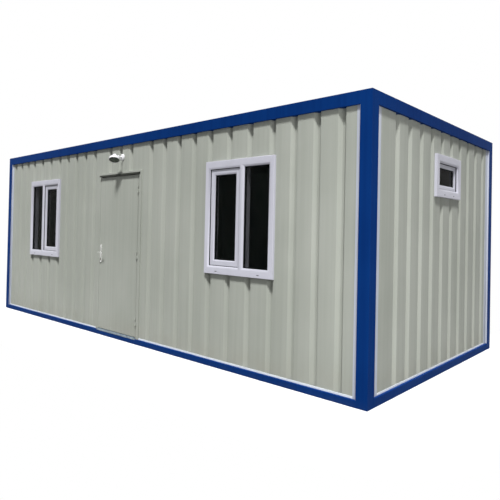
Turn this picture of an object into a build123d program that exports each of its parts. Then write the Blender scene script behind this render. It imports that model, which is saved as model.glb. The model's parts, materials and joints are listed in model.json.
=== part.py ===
from build123d import *
import os

# Portable site cabin. Millimetres, +Z up, the origin on the ground in the middle of the footprint.
# The long front with the door faces -Y, the end with the vent window faces +X.
# A wall and all that it carries is drawn in wall coordinates: X to the right as seen from outside,
# Y inwards from the outer face of the steel frame, Z up. place() then puts it on its side.

# Overall size
cabin_length = 7000
cabin_width = 3000
cabin_height = 2550

# Steel frame
post_size = 110
steel_wall = 4
post_plate = 8
roof_rail_height = 112
side_rail_height = 60
end_rail_height = 75

# Walls
wall_setback = 22
wall_thickness = 60
lining_thickness = 9
groove_depth = 34
groove_mouth = 78
groove_floor = 24
trim_thickness = 2.5
corner_trim_width = 38
end_corner_trim_width = 75
base_trim_height = 20

# Floor and roof
deck_thickness = 18
joist_width = 50
joist_count = 11
centre_beam_width = 80
ceiling_thickness = 40
roof_beam_width = 50
roof_beam_height = 62
roof_beam_count = 7
roof_panel_thickness = 12
roof_rib_height = 24
roof_rib_foot = 60
roof_rib_crest = 30
roof_rib_pitch = 250

# The wall left over the door, which also sets the head of the windows
over_door_height = 328
window_head_drop = 5

# Windows, one pair of equal casement windows and a small vent window
window_width = 940
window_height = 1155
fixed_light_width = 320
left_window_from_end = 1360
right_window_from_end = 1475
vent_width = 644
vent_height = 426
vent_from_roof_rail = 239
vent_off_middle = 105
window_proud = 5
frame_face = 82
window_stile_face = 66
frame_cover = 30
mullion_face = 68
casement_face = 58
casement_setback = 15
vent_sash_face = 40
vent_sash_setback = 22
sash_depth = 50
sash_gap = 4
stop_cover = 14
glass_thickness = 20
glass_in_sash = 14
fixed_glass_setback = 14

# Window handles, on the room side of each casement
handle_rise = 520
handle_base_width = 26
handle_base_height = 70
handle_base_thickness = 8
handle_neck = 18
handle_neck_height = 26
handle_grip_length = 118
handle_grip_width = 18
handle_grip_thickness = 11

# Door
door_off_middle = -100
leaf_width = 850
leaf_thickness = 40
leaf_setback = 8
door_gap = 7
door_stop_gap = 5
door_stop_cover = 13
jamb_face = 49
threshold_gap = 6
threshold_lip_drop = 7
threshold_proud = 2.5

# Drip cap over the door, from the leaf's left edge to past its right one
cap_right_overhang = 34
cap_height = 24
cap_depth = 24
cap_fall = 5
cap_sheet = 3

# Door hinges, the lower half on the frame with its pin, the upper half on the leaf
hinge_inset = 180
hinge_count = 3
hinge_half_height = 42
hinge_plate_width = 26
hinge_plate_thickness = 2.5
knuckle_radius = 5.5
knuckle_standoff = 12
hinge_pin_radius = 3
hinge_pin_length = 32
hinge_bore_clearance = 0.08
hinge_end_gap = 0.5
hinge_web = 5

# Door lever on long plates
lever_backset = 40
lever_height = 1075
lever_plate_width = 42
lever_plate_above = 102
lever_plate_below = 133
lever_plate_thickness = 8
spindle_radius = 5
spindle_bore_clearance = 0.08
spindle_leaf_clearance = 5
lever_neck_radius = 9
lever_neck_length = 36
lever_neck_gap = 0.5
lever_arm_length = 115
lever_arm_height = 20
lever_arm_thickness = 14

# Lamp over the door
lamp_off_door = 47
lamp_from_roof_rail = 146
lamp_rose_radius = 42
lamp_rose_thickness = 14
lamp_ball_radius = 17
lamp_ball_standoff = 46
lamp_arm_radius = 9
lamp_reach = 98
lamp_turn = 50
lamp_tilt = 26
lamp_shade_radius = 66
lamp_shade_neck_radius = 22
lamp_shade_length = 80
lamp_glass_thickness = 5
lamp_rim = 4

# Grooves: even on the back. On the front the sheet at a window is wider, and on the ends the first flat
groove_pitch = 258
window_sheet_pitch = 284
window_sheet_groove_count = 4
window_sheet_shift = -4
over_door_pitch = 235
over_door_groove_count = 3
over_door_shift = 3
post_to_groove = 113
groove_to_door = 139
door_to_groove = 175
groove_to_post = 182
plain_wall_margin = 95
end_groove_pitch = 246
post_to_end_groove = 375

# A turn that lays a bar along the depth of the wall
quarter_turn = 90

# Lines that the sizes above settle
half_length = cabin_length / 2
half_width = cabin_width / 2
long_span = half_length - post_size
short_span = half_width - post_size
rail_width = wall_setback + wall_thickness
lining_face = rail_width + lining_thickness
roof_rail_bottom = cabin_height - roof_rail_height
deck_top = side_rail_height + deck_thickness
ceiling_bottom = roof_rail_bottom - ceiling_thickness
door_frame_top = roof_rail_bottom - over_door_height
window_sill = door_frame_top - window_head_drop - window_height
left_window_x = left_window_from_end - half_length
right_window_x = half_length - right_window_from_end
vent_sill = roof_rail_bottom - vent_from_roof_rail - vent_height
leaf_left = door_off_middle - leaf_width / 2
leaf_right = door_off_middle + leaf_width / 2
leaf_bottom = deck_top + threshold_gap
leaf_back = leaf_setback + leaf_thickness
pocket_left = leaf_left - door_gap
pocket_right = leaf_right + door_gap
pocket_top = door_frame_top - jamb_face
leaf_top = pocket_top - door_gap
door_frame_left = pocket_left - jamb_face
door_frame_right = pocket_right + jamb_face
stop_face = leaf_back + door_stop_gap
casement_back = casement_setback + sash_depth
hinge_x = leaf_right + door_gap / 2
hinge_y = leaf_setback - knuckle_standoff
lever_x = leaf_left + lever_backset
lamp_x = door_off_middle + lamp_off_door
lamp_height = roof_rail_bottom - lamp_from_roof_rail

# Each side as (turn about Z, half the distance across the cabin)
SIDES = {
    "front": (0, half_width),
    "right": (90, half_length),
    "back": (180, half_width),
    "left": (270, half_length),
}


def block(x, y, z):
    """A box from its lowest and highest X, Y and Z."""
    return Pos((x[0] + x[1]) / 2, (y[0] + y[1]) / 2, (z[0] + z[1]) / 2) * Box(
        x[1] - x[0], y[1] - y[0], z[1] - z[0])


def rod(centre, radius, length, turn=(0, 0, 0)):
    """A round bar about its middle point, along Z before it is turned."""
    return Pos(*centre) * Rot(*turn) * Cylinder(radius, length)


def place(shape, side):
    """Put a shape in wall coordinates on its side of the cabin."""
    turn, reach = SIDES[side]
    return Rot(0, 0, turn) * Pos(0, -reach, 0) * shape


def save(node, *shapes):
    """Write one node, from one solid or from several that don't touch."""
    whole = shapes[0] if len(shapes) == 1 else Compound(children=list(shapes))
    export_step(whole, f"parts/{node}.step")


def box_section(x, y, z, along):
    """A hollow steel bar with open ends, along X or Y or Z."""
    spans = {"x": x, "y": y, "z": z}
    core = {}
    for axis, (low, high) in spans.items():
        inset = 0 if axis == along else steel_wall
        core[axis] = (low + inset, high - inset)
    return block(x, y, z) - block(core["x"], core["y"], core["z"])


def spread(pitch, count, middle=0):
    """Places at one pitch about a middle."""
    return [middle + pitch * (step - (count - 1) / 2) for step in range(count)]


def plain_grooves(span):
    """Grooves spread evenly over a plain wall that reaches as far on both sides of its middle."""
    count = int((2 * span - 2 * plain_wall_margin) // groove_pitch) + 1
    return spread(groove_pitch, count)


def end_grooves():
    """Grooves of an end wall, from a wide flat beside the front post as far as the back post."""
    first = post_to_end_groove - short_span
    count = int((short_span - plain_wall_margin - first) // end_groove_pitch) + 1
    return [first + end_groove_pitch * step for step in range(count)]


def window_wall_grooves(first, last, window_x):
    """Grooves of a front wall piece: a wider sheet at its window, and even ones from there to each end."""
    at_window = spread(window_sheet_pitch, window_sheet_groove_count, window_x + window_sheet_shift)
    before = at_window[0] - first
    after = last - at_window[-1]
    steps_before = max(1, round(before / groove_pitch))
    steps_after = max(1, round(after / groove_pitch))
    left = [first + before * step / steps_before for step in range(steps_before)]
    right = [last - after * step / steps_after for step in reversed(range(steps_after))]
    return left + at_window + right


def grooved_panel(x, z, centres):
    """A wall panel with upright trapezoid grooves in its outer face."""
    outline = [(x[0], wall_setback)]
    groove_back = wall_setback + groove_depth
    for centre in centres:
        outline += [
            (centre - groove_mouth / 2, wall_setback),
            (centre - groove_floor / 2, groove_back),
            (centre + groove_floor / 2, groove_back),
            (centre + groove_mouth / 2, wall_setback),
        ]
    outline += [(x[1], wall_setback), (x[1], rail_width), (x[0], rail_width)]
    return Pos(0, 0, z[0]) * extrude(Polygon(*outline, align=None), amount=z[1] - z[0])


def window_hole(centre, width, sill, height, depth):
    """The hole that a window frame's body fills, over a range of wall depth."""
    return block(
        (centre - width / 2 + frame_cover, centre + width / 2 - frame_cover),
        depth,
        (sill + frame_cover, sill + height - frame_cover))


def make_frame():
    """Posts with their plates, base rails and roof rails."""
    plates = []
    for name_y, sign_y in (("front", -1), ("back", 1)):
        for name_x, sign_x in (("left", -1), ("right", 1)):
            x = sorted((sign_x * half_length, sign_x * long_span))
            y = sorted((sign_y * half_width, sign_y * short_span))
            tube = box_section(x, y, (post_plate, cabin_height - post_plate), "z")
            save(f"post_{name_y}_{name_x}", tube)
            plates.append(block(x, y, (0, post_plate)))
            plates.append(block(x, y, (cabin_height - post_plate, cabin_height)))
    save("post_plates", *plates)
    for side in SIDES:
        on_long_side = side in ("front", "back")
        span = long_span if on_long_side else short_span
        base_height = side_rail_height if on_long_side else end_rail_height
        base = box_section((-span, span), (0, rail_width), (0, base_height), "x")
        roof = box_section((-span, span), (0, rail_width), (roof_rail_bottom, cabin_height), "x")
        save(f"base_rail_{side}", place(base, side))
        save(f"roof_rail_{side}", place(roof, side))


def inner_slab(z):
    """A slab between the walls, notched round the four posts."""
    x_reach = half_length - rail_width
    y_reach = half_width - rail_width
    slab = block((-x_reach, x_reach), (-y_reach, y_reach), z)
    for sign_x in (-1, 1):
        for sign_y in (-1, 1):
            x = sorted((sign_x * half_length, sign_x * long_span))
            y = sorted((sign_y * half_width, sign_y * short_span))
            slab -= block(x, y, z)
    return slab


def make_floor_and_roof():
    """Floor frame, deck, ceiling, roof beams and roof panel."""
    x_reach = half_length - rail_width
    y_reach = half_width - rail_width
    beam_y = (-centre_beam_width / 2, centre_beam_width / 2)
    floor_frame = block((-x_reach, x_reach), beam_y, (0, side_rail_height))
    joist_pitch = 2 * long_span / (joist_count + 1)
    for centre in spread(joist_pitch, joist_count):
        joist_x = (centre - joist_width / 2, centre + joist_width / 2)
        floor_frame += block(joist_x, (-y_reach, y_reach), (0, side_rail_height))
    save("floor_frame", floor_frame)
    save("floor_deck", inner_slab((side_rail_height, deck_top)))
    save("ceiling_panel", inner_slab((ceiling_bottom, roof_rail_bottom)))

    beam_top = roof_rail_bottom + roof_beam_height
    beams = []
    for centre in spread(2 * long_span / (roof_beam_count + 1), roof_beam_count):
        beams.append(block(
            (centre - roof_beam_width / 2, centre + roof_beam_width / 2),
            (-y_reach, y_reach),
            (roof_rail_bottom, beam_top)))
    save("roof_beams", *beams)

    flat = roof_panel_thickness
    crest = flat + roof_rib_height
    outline = [(-x_reach, 0), (x_reach, 0), (x_reach, flat)]
    rib_count = int(2 * (long_span - roof_rib_foot) // roof_rib_pitch)
    for centre in reversed(spread(roof_rib_pitch, rib_count)):
        outline += [
            (centre + roof_rib_foot / 2, flat),
            (centre + roof_rib_crest / 2, crest),
            (centre - roof_rib_crest / 2, crest),
            (centre - roof_rib_foot / 2, flat),
        ]
    outline.append((-x_reach, flat))
    panel = extrude(Polygon(*outline, align=None), amount=2 * y_reach)
    panel = Pos(0, y_reach, beam_top) * Rot(quarter_turn, 0, 0) * panel
    panel &= inner_slab((beam_top, beam_top + crest))
    save("roof_panel", panel)


def make_walls():
    """Grooved outer walls with their openings, and the linings inside."""
    side_z = (side_rail_height, roof_rail_bottom)
    end_z = (end_rail_height, roof_rail_bottom)
    through_wall = (0, rail_width)
    left_hole = window_hole(left_window_x, window_width, window_sill, window_height, through_wall)
    right_hole = window_hole(right_window_x, window_width, window_sill, window_height, through_wall)
    vent_hole = window_hole(vent_off_middle, vent_width, vent_sill, vent_height, through_wall)

    left_grooves = window_wall_grooves(
        post_to_groove - long_span, door_frame_left - groove_to_door, left_window_x)
    right_grooves = window_wall_grooves(
        door_frame_right + door_to_groove, long_span - groove_to_post, right_window_x)
    front_left = grooved_panel((-long_span, door_frame_left), side_z, left_grooves)
    front_right = grooved_panel((door_frame_right, long_span), side_z, right_grooves)
    over_door = grooved_panel(
        (door_frame_left, door_frame_right),
        (door_frame_top, roof_rail_bottom),
        spread(over_door_pitch, over_door_groove_count, door_off_middle + over_door_shift))
    save("front_wall_left", place(front_left - left_hole, "front"))
    save("front_wall_right", place(front_right - right_hole, "front"))
    save("front_wall_over_door", place(over_door, "front"))
    back = grooved_panel((-long_span, long_span), side_z, plain_grooves(long_span))
    save("back_wall", place(back, "back"))
    right_end = grooved_panel((-short_span, short_span), end_z, end_grooves())
    mirrored_grooves = [-centre for centre in reversed(end_grooves())]
    left_end = grooved_panel((-short_span, short_span), end_z, mirrored_grooves)
    save("left_end_wall", place(left_end, "left"))
    save("right_end_wall", place(right_end - vent_hole, "right"))

    lining_y = (rail_width, lining_face)
    lining_z = (deck_top, ceiling_bottom)
    long_lining = block((-long_span, long_span), lining_y, lining_z)
    end_lining = block((-short_span, short_span), lining_y, lining_z)
    front_lining = long_lining
    for centre in (left_window_x, right_window_x):
        front_lining -= window_hole(centre, window_width, window_sill, window_height, lining_y)
    front_lining -= block((door_frame_left, door_frame_right), lining_y, (deck_top, door_frame_top))
    vented_lining = end_lining - window_hole(vent_off_middle, vent_width, vent_sill, vent_height, lining_y)
    save(
        "wall_linings",
        place(front_lining, "front"),
        place(long_lining, "back"),
        place(end_lining, "left"),
        place(vented_lining, "right"))


def corner_trim(end, span, width, z):
    """An angle of folded sheet where a wall meets a post, at the end -1 or 1 of the wall."""
    on_wall = block(
        sorted((end * span, end * (span - width))),
        (wall_setback - trim_thickness, wall_setback),
        z)
    on_post = block(
        sorted((end * span, end * (span - trim_thickness))),
        (trim_thickness, wall_setback),
        z)
    return on_wall + on_post


def make_trims():
    """Pale trims in the corners of each wall and along its foot."""
    corner_trims = []
    base_trims = []
    trim_y = (wall_setback - trim_thickness, wall_setback)
    for side in SIDES:
        on_long_side = side in ("front", "back")
        span = long_span if on_long_side else short_span
        base = side_rail_height if on_long_side else end_rail_height
        width = corner_trim_width if on_long_side else end_corner_trim_width
        for end in (-1, 1):
            corner_trims.append(place(corner_trim(end, span, width, (base, roof_rail_bottom)), side))
        reach = span - width
        stretches = ((-reach, reach),)
        if side == "front":
            stretches = ((-reach, door_frame_left), (door_frame_right, reach))
        for stretch in stretches:
            base_trims.append(place(block(stretch, trim_y, (base, base + base_trim_height)), side))
    save("corner_trims", *corner_trims)
    save("base_trims", *base_trims)


def window_frame(width, height, lights):
    """A frame about its own middle, with one opening for each light.

    Each light is (left, right, how deep its sash reaches). A fixed light has no sash, and reaches 0.
    """
    x = (-width / 2, width / 2)
    z = (-height / 2, height / 2)
    body = block(
        (x[0] + frame_cover, x[1] - frame_cover),
        (wall_setback, lining_face),
        (z[0] + frame_cover, z[1] - frame_cover))
    frame = block(x, (-window_proud, wall_setback), z) + body
    clear_z = (z[0] + frame_face, z[1] - frame_face)
    for left, right, sash_back in lights:
        if sash_back:
            frame -= block((left, right), (-window_proud, sash_back), clear_z)
            frame -= block(
                (left + stop_cover, right - stop_cover),
                (sash_back, lining_face),
                (clear_z[0] + stop_cover, clear_z[1] - stop_cover))
        else:
            frame -= block((left, right), (-window_proud, lining_face), clear_z)
    return frame


def glazed_sash(left, right, height, face, setback):
    """A sash and its glass, for an opening about the frame's own middle."""
    x = (left + sash_gap, right - sash_gap)
    y = (setback, setback + sash_depth)
    z = (-height / 2 + frame_face + sash_gap, height / 2 - frame_face - sash_gap)
    glass_x = (x[0] + face, x[1] - face)
    glass_z = (z[0] + face, z[1] - face)
    glass_front = setback + glass_in_sash
    sash = block(x, y, z) - block(glass_x, y, glass_z)
    glass = block(glass_x, (glass_front, glass_front + glass_thickness), glass_z)
    return sash, glass


def window_handle(stile_x, foot_z):
    """A casement's inside handle, with its grip hanging down from a neck."""
    top = foot_z + handle_base_height
    plate_back = casement_back + handle_base_thickness
    neck_back = plate_back + handle_neck
    grip_back = neck_back + handle_grip_thickness
    plate = block(
        (stile_x - handle_base_width / 2, stile_x + handle_base_width / 2),
        (casement_back, plate_back),
        (foot_z, top))
    neck_x = (stile_x - handle_grip_width / 2, stile_x + handle_grip_width / 2)
    grip_top = top - handle_base_thickness
    neck = block(neck_x, (plate_back, neck_back), (grip_top - handle_neck_height, grip_top))
    grip = block(neck_x, (neck_back, grip_back), (grip_top - handle_grip_length, grip_top))
    return plate + neck + grip


def make_front_windows():
    """The two casement windows of the front, one the mirror image of the other."""
    handles = []
    for name, centre, hand in (("left", left_window_x, -1), ("right", right_window_x, 1)):
        edge = window_width / 2 - window_stile_face
        fixed = sorted((hand * edge, hand * (edge - fixed_light_width)))
        opening = sorted((-hand * edge, hand * (edge - fixed_light_width - mullion_face)))
        lights = ((fixed[0], fixed[1], 0), (opening[0], opening[1], casement_back))
        frame = window_frame(window_width, window_height, lights)
        sash, sash_glass = glazed_sash(
            opening[0], opening[1], window_height, casement_face, casement_setback)
        fixed_z = (-window_height / 2 + frame_face, window_height / 2 - frame_face)
        fixed_glass = block(fixed, (fixed_glass_setback, fixed_glass_setback + glass_thickness), fixed_z)
        middle = Pos(centre, 0, window_sill + window_height / 2)
        save(f"{name}_window_frame", place(middle * frame, "front"))
        save(f"{name}_window_sash", place(middle * sash, "front"))
        panes = [place(middle * glass, "front") for glass in (fixed_glass, sash_glass)]
        save(f"{name}_window_glass", *panes)
        stile_x = centre - hand * (edge - stop_cover - handle_base_width / 2 - sash_gap)
        handle = window_handle(stile_x, window_sill + handle_rise)
        handles.append(place(handle, "front"))
    save("window_handles", *handles)


def make_vent_window():
    """The small high window in the end wall."""
    edge = vent_width / 2 - frame_face
    frame = window_frame(vent_width, vent_height, ((-edge, edge, vent_sash_setback + sash_depth),))
    sash, glass = glazed_sash(-edge, edge, vent_height, vent_sash_face, vent_sash_setback)
    middle = Pos(vent_off_middle, 0, vent_sill + vent_height / 2)
    save("vent_window_frame", place(middle * frame, "right"))
    save("vent_window_sash", place(middle * sash, "right"))
    save("vent_window_glass", place(middle * glass, "right"))


def make_door_surround():
    """Door frame, threshold and drip cap."""
    frame_x = (door_frame_left, door_frame_right)
    pocket_x = (pocket_left, pocket_right)
    frame = block(frame_x, (leaf_setback, rail_width), (side_rail_height, door_frame_top))
    frame += block(frame_x, (rail_width, lining_face), (deck_top, door_frame_top))
    frame -= block(pocket_x, (leaf_setback, lining_face), (side_rail_height, deck_top))
    frame -= block(pocket_x, (leaf_setback, stop_face), (deck_top, pocket_top))
    stop_cut = door_gap + door_stop_cover
    frame -= block(
        (pocket_left + stop_cut, pocket_right - stop_cut),
        (stop_face, lining_face),
        (deck_top, pocket_top - stop_cut))
    save("door_frame", place(frame, "front"))

    tread = block(pocket_x, (-threshold_proud, rail_width), (side_rail_height, deck_top))
    lip = block(pocket_x, (-threshold_proud, 0), (side_rail_height - threshold_lip_drop, side_rail_height))
    save("door_threshold", place(tread + lip, "front"))

    back = leaf_setback
    front = leaf_setback - cap_depth
    outline = [
        (back, pocket_top),
        (back, pocket_top + cap_height),
        (back - cap_sheet, pocket_top + cap_height),
        (front, pocket_top + cap_height - cap_fall),
        (front, pocket_top),
        (front + cap_sheet, pocket_top),
        (front + cap_sheet, pocket_top + cap_height - cap_fall - cap_sheet),
        (back - cap_sheet, pocket_top + cap_height - cap_sheet),
        (back - cap_sheet, pocket_top),
    ]
    cap_x = (leaf_left, leaf_right + cap_right_overhang)
    section = extrude(Plane.YZ * Polygon(*outline, align=None), amount=cap_x[1] - cap_x[0])
    save("door_drip_cap", place(Pos(cap_x[0], 0, 0) * section, "front"))


def hinge_half(z, side):
    """Half a lift-off hinge: a plate on the face of frame or leaf, its web and its knuckle.

    The side is 1 for the frame's half, right of the pin, and -1 for the leaf's.
    """
    edge = hinge_x + side * door_gap / 2
    plate = block(
        sorted((edge, edge + side * hinge_plate_width)),
        (leaf_setback - hinge_plate_thickness, leaf_setback),
        z)
    web = block(sorted((edge, edge + side * hinge_web)), (hinge_y, leaf_setback), z)
    knuckle = rod((hinge_x, hinge_y, (z[0] + z[1]) / 2), knuckle_radius, z[1] - z[0])
    return plate + web + knuckle


def make_hinges():
    """Three lift-off hinges."""
    frame_halves = []
    leaf_halves = []
    lowest = leaf_bottom + hinge_inset
    hinge_pitch = (leaf_top - hinge_inset - lowest) / (hinge_count - 1)
    for middle in spread(hinge_pitch, hinge_count, (leaf_bottom + leaf_top) / 2):
        low = (middle - hinge_half_height, middle)
        high = (middle + hinge_end_gap, middle + hinge_half_height)
        pin = rod((hinge_x, hinge_y, middle + hinge_pin_length / 2), hinge_pin_radius, hinge_pin_length)
        bore_length = 2 * (hinge_pin_length + hinge_end_gap)
        bore = rod((hinge_x, hinge_y, middle), hinge_pin_radius + hinge_bore_clearance, bore_length)
        frame_halves.append(place(hinge_half(low, 1) + pin, "front"))
        leaf_halves.append(place(hinge_half(high, -1) - bore, "front"))
    save("frame_hinges", *frame_halves)
    save("leaf_hinges", *leaf_halves)


def make_leaf():
    """Door leaf, its lever plates and the lever with its spindle."""
    along_y = (quarter_turn, 0, 0)
    leaf = block((leaf_left, leaf_right), (leaf_setback, leaf_back), (leaf_bottom, leaf_top))
    leaf_middle = (leaf_setback + leaf_back) / 2
    leaf -= rod(
        (lever_x, leaf_middle, lever_height),
        spindle_radius + spindle_leaf_clearance,
        leaf_thickness,
        along_y)
    save("door_leaf", place(leaf, "front"))

    plate_x = (lever_x - lever_plate_width / 2, lever_x + lever_plate_width / 2)
    plate_z = (lever_height - lever_plate_below, lever_height + lever_plate_above)
    outer_plate_y = (leaf_setback - lever_plate_thickness, leaf_setback)
    inner_plate_y = (leaf_back, leaf_back + lever_plate_thickness)
    plates = []
    for plate_y in (outer_plate_y, inner_plate_y):
        bore = rod(
            (lever_x, sum(plate_y) / 2, lever_height),
            spindle_radius + spindle_bore_clearance,
            lever_plate_thickness,
            along_y)
        plates.append(place(block(plate_x, plate_y, plate_z) - bore, "front"))
    save("lever_plates", *plates)

    neck_reach = lever_neck_gap + lever_neck_length
    outer_neck = (outer_plate_y[0] - neck_reach, outer_plate_y[0] - lever_neck_gap)
    inner_neck = (inner_plate_y[1] + lever_neck_gap, inner_plate_y[1] + neck_reach)
    lever = rod((lever_x, (outer_neck[0] + inner_neck[1]) / 2, lever_height), spindle_radius,
                inner_neck[1] - outer_neck[0], along_y)
    arm_x = (lever_x - lever_neck_radius, lever_x + lever_arm_length)
    arm_z = (lever_height - lever_arm_height / 2, lever_height + lever_arm_height / 2)
    for neck, arm_y in (
        (outer_neck, (outer_neck[0] - lever_arm_thickness, outer_neck[0])),
        (inner_neck, (inner_neck[1], inner_neck[1] + lever_arm_thickness)),
    ):
        lever += rod((lever_x, sum(neck) / 2, lever_height), lever_neck_radius, lever_neck_length, along_y)
        lever += block(arm_x, arm_y, arm_z)
    save("door_lever", place(lever, "front"))


def make_lamp():
    """Wall lamp: a round base, an arm with a ball on it, and a turned and tilted shade closed by a glass."""
    along_y = (quarter_turn, 0, 0)
    rose_y = wall_setback - lamp_rose_thickness
    rose_middle = (lamp_x, (rose_y + wall_setback) / 2, lamp_height)
    base = rod(rose_middle, lamp_rose_radius, lamp_rose_thickness, along_y)
    base += Pos(lamp_x, rose_y - lamp_ball_standoff, lamp_height) * Sphere(lamp_ball_radius)
    arm_end = rose_y - lamp_reach
    base += rod((lamp_x, (rose_y + arm_end) / 2, lamp_height), lamp_arm_radius, lamp_reach, along_y)

    mouth = -lamp_shade_length
    profile = [
        (0, 0),
        (lamp_shade_neck_radius, 0),
        (lamp_shade_neck_radius + lamp_rim, mouth / 4),
        (lamp_shade_radius, 3 * mouth / 4),
        (lamp_shade_radius, mouth),
        (lamp_shade_radius - lamp_rim, mouth),
        (lamp_shade_radius - lamp_rim, mouth + lamp_glass_thickness),
        (0, mouth + lamp_glass_thickness),
    ]
    shade = revolve(Plane.XZ * Polygon(*profile, align=None), Axis.Z)
    glass = rod(
        (0, 0, mouth + lamp_glass_thickness / 2),
        lamp_shade_radius - lamp_rim,
        lamp_glass_thickness)
    neck = Pos(lamp_x, arm_end, lamp_height + lamp_shade_neck_radius)
    hang = neck * Rot(0, 0, lamp_turn) * Rot(-lamp_tilt, 0, 0)
    shade = hang * shade
    base -= shade
    save("lamp_base", place(base, "front"))
    save("lamp_shade", place(shade, "front"))
    save("lamp_glass", place(hang * glass, "front"))


os.makedirs("parts", exist_ok=True)
make_frame()
make_floor_and_roof()
make_walls()
make_trims()
make_front_windows()
make_vent_window()
make_door_surround()
make_hinges()
make_leaf()
make_lamp()
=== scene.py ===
"""Looks of a portable site cabin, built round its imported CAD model."""

import json
import logging
import math
from collections.abc import Mapping, Sequence
from dataclasses import dataclass
from enum import Enum

import bmesh
import bpy
from mathutils import Matrix, Vector

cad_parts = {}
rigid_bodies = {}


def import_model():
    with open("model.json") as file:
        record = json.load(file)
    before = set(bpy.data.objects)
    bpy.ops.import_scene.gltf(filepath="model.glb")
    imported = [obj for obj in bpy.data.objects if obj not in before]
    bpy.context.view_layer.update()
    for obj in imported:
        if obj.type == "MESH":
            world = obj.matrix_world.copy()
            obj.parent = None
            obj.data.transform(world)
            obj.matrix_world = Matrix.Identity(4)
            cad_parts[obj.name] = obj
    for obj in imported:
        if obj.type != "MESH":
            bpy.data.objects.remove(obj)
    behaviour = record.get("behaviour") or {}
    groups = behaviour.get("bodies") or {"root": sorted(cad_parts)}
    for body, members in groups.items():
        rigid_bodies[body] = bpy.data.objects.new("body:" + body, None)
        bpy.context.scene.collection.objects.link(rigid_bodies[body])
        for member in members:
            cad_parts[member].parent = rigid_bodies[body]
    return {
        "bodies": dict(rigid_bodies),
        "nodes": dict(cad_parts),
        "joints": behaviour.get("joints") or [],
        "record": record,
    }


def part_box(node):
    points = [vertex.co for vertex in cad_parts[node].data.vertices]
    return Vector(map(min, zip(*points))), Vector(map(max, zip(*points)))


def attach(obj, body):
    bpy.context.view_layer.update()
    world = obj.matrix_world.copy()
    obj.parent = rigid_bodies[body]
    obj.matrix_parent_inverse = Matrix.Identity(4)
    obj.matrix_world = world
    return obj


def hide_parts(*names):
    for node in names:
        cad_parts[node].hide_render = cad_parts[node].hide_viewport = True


log = logging.getLogger("site_cabin")

Colour = tuple[float, float, float]
Pair = tuple[float, float]
Triple = tuple[float, float, float]

QUADRANTS = ((-1, -1), (1, -1), (1, 1), (-1, 1))
WHITE = (1.0, 1.0, 1.0)
MERGE_DISTANCE = 1e-5
SMOOTH_ANGLE = math.radians(38)
ROUNDED_ANGLE = math.radians(25)
FLAT_ANGLE = math.radians(0.5)
NEAR = 1e-4

# Depths behind the steel's face: of the wall sheets, and of the linings towards the room.
WALL_FACE = 0.022
LINING_FACE = 0.091
# How far a window frame laps over its wall.
FRAME_COVER = 0.03
# The radius at which the ends of a turned body close.
TIP_RADIUS = 0.0005


def srgb(red: int, green: int, blue: int) -> Colour:
    """A colour as seen on a screen, from 0 to 255, as linear values.

    Args:
        red: The red level.
        green: The green level.
        blue: The blue level.

    Returns:
        The linear values.
    """
    return tuple(
        level / 12.92 if level <= 0.04045 else ((level + 0.055) / 1.055) ** 2.4
        for level in (red / 255, green / 255, blue / 255)
    )


class Side(Enum):
    """The four walls: turn about Z in degrees, and distance of the steel's face from the middle."""

    FRONT = (0, 1.5)
    RIGHT = (90, 3.5)
    BACK = (180, 1.5)
    LEFT = (270, 3.5)

    @property
    def matrix(self) -> Matrix:
        """From wall coordinates (X right, Y inwards, Z up) to the cabin's frame."""
        turn, reach = self.value
        return Matrix.Rotation(math.radians(turn), 4, "Z") @ Matrix.Translation((0, -reach, 0))

    def box(self, node: str) -> tuple[Pair, Pair, Pair]:
        """A CAD node's ranges in wall coordinates.

        Args:
            node: The CAD node's name.

        Returns:
            Lowest and highest X, then Y, then Z.
        """
        back = self.matrix.inverted()
        low, high = (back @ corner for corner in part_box(node))
        return tuple((min(pair), max(pair)) for pair in zip(low, high))


class Term:
    """A node's output that takes part in Python expressions, which add Math nodes."""

    def __init__(self, graph: "Graph", socket: bpy.types.NodeSocket) -> None:
        """Wrap one output socket of a graph."""
        self.graph = graph
        self.socket = socket

    def maths(self, operation: str, *others: "Term | float", first: "Term | float | None" = None) -> "Term":
        """One Math node.

        Args:
            operation: The Math node's operation.
            others: What follows this term, or what follows `first`.
            first: What stands before this term, for the reflected forms.

        Returns:
            The node's result.
        """
        values = (first, self) if first is not None else (self, *others)
        return self.graph.term("ShaderNodeMath", {"operation": operation}, dict(enumerate(values)))

    def __add__(self, other: "Term | float") -> "Term":
        """This plus other."""
        return self.maths("ADD", other)

    def __radd__(self, other: float) -> "Term":
        """Other plus this."""
        return self.maths("ADD", first=other)

    def __sub__(self, other: "Term | float") -> "Term":
        """This less other."""
        return self.maths("SUBTRACT", other)

    def __rsub__(self, other: float) -> "Term":
        """Other less this."""
        return self.maths("SUBTRACT", first=other)

    def __mul__(self, other: "Term | float") -> "Term":
        """This times other."""
        return self.maths("MULTIPLY", other)

    def __rmul__(self, other: float) -> "Term":
        """Other times this."""
        return self.maths("MULTIPLY", first=other)

    def __truediv__(self, other: "Term | float") -> "Term":
        """This over other."""
        return self.maths("DIVIDE", other)

    def __pow__(self, other: "Term | float") -> "Term":
        """This to the power of other."""
        return self.maths("POWER", other)

    def ramped(self, low: float, high: float) -> "Term":
        """A smooth step from 0 at `low` to 1 at `high`, which may be the lower one.

        Args:
            low: Where the step starts.
            high: Where the step ends.

        Returns:
            The step.
        """
        return self.graph.term(
            "ShaderNodeMapRange",
            {"interpolation_type": "SMOOTHSTEP"},
            {"Value": self, "From Min": low, "From Max": high},
        )


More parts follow.
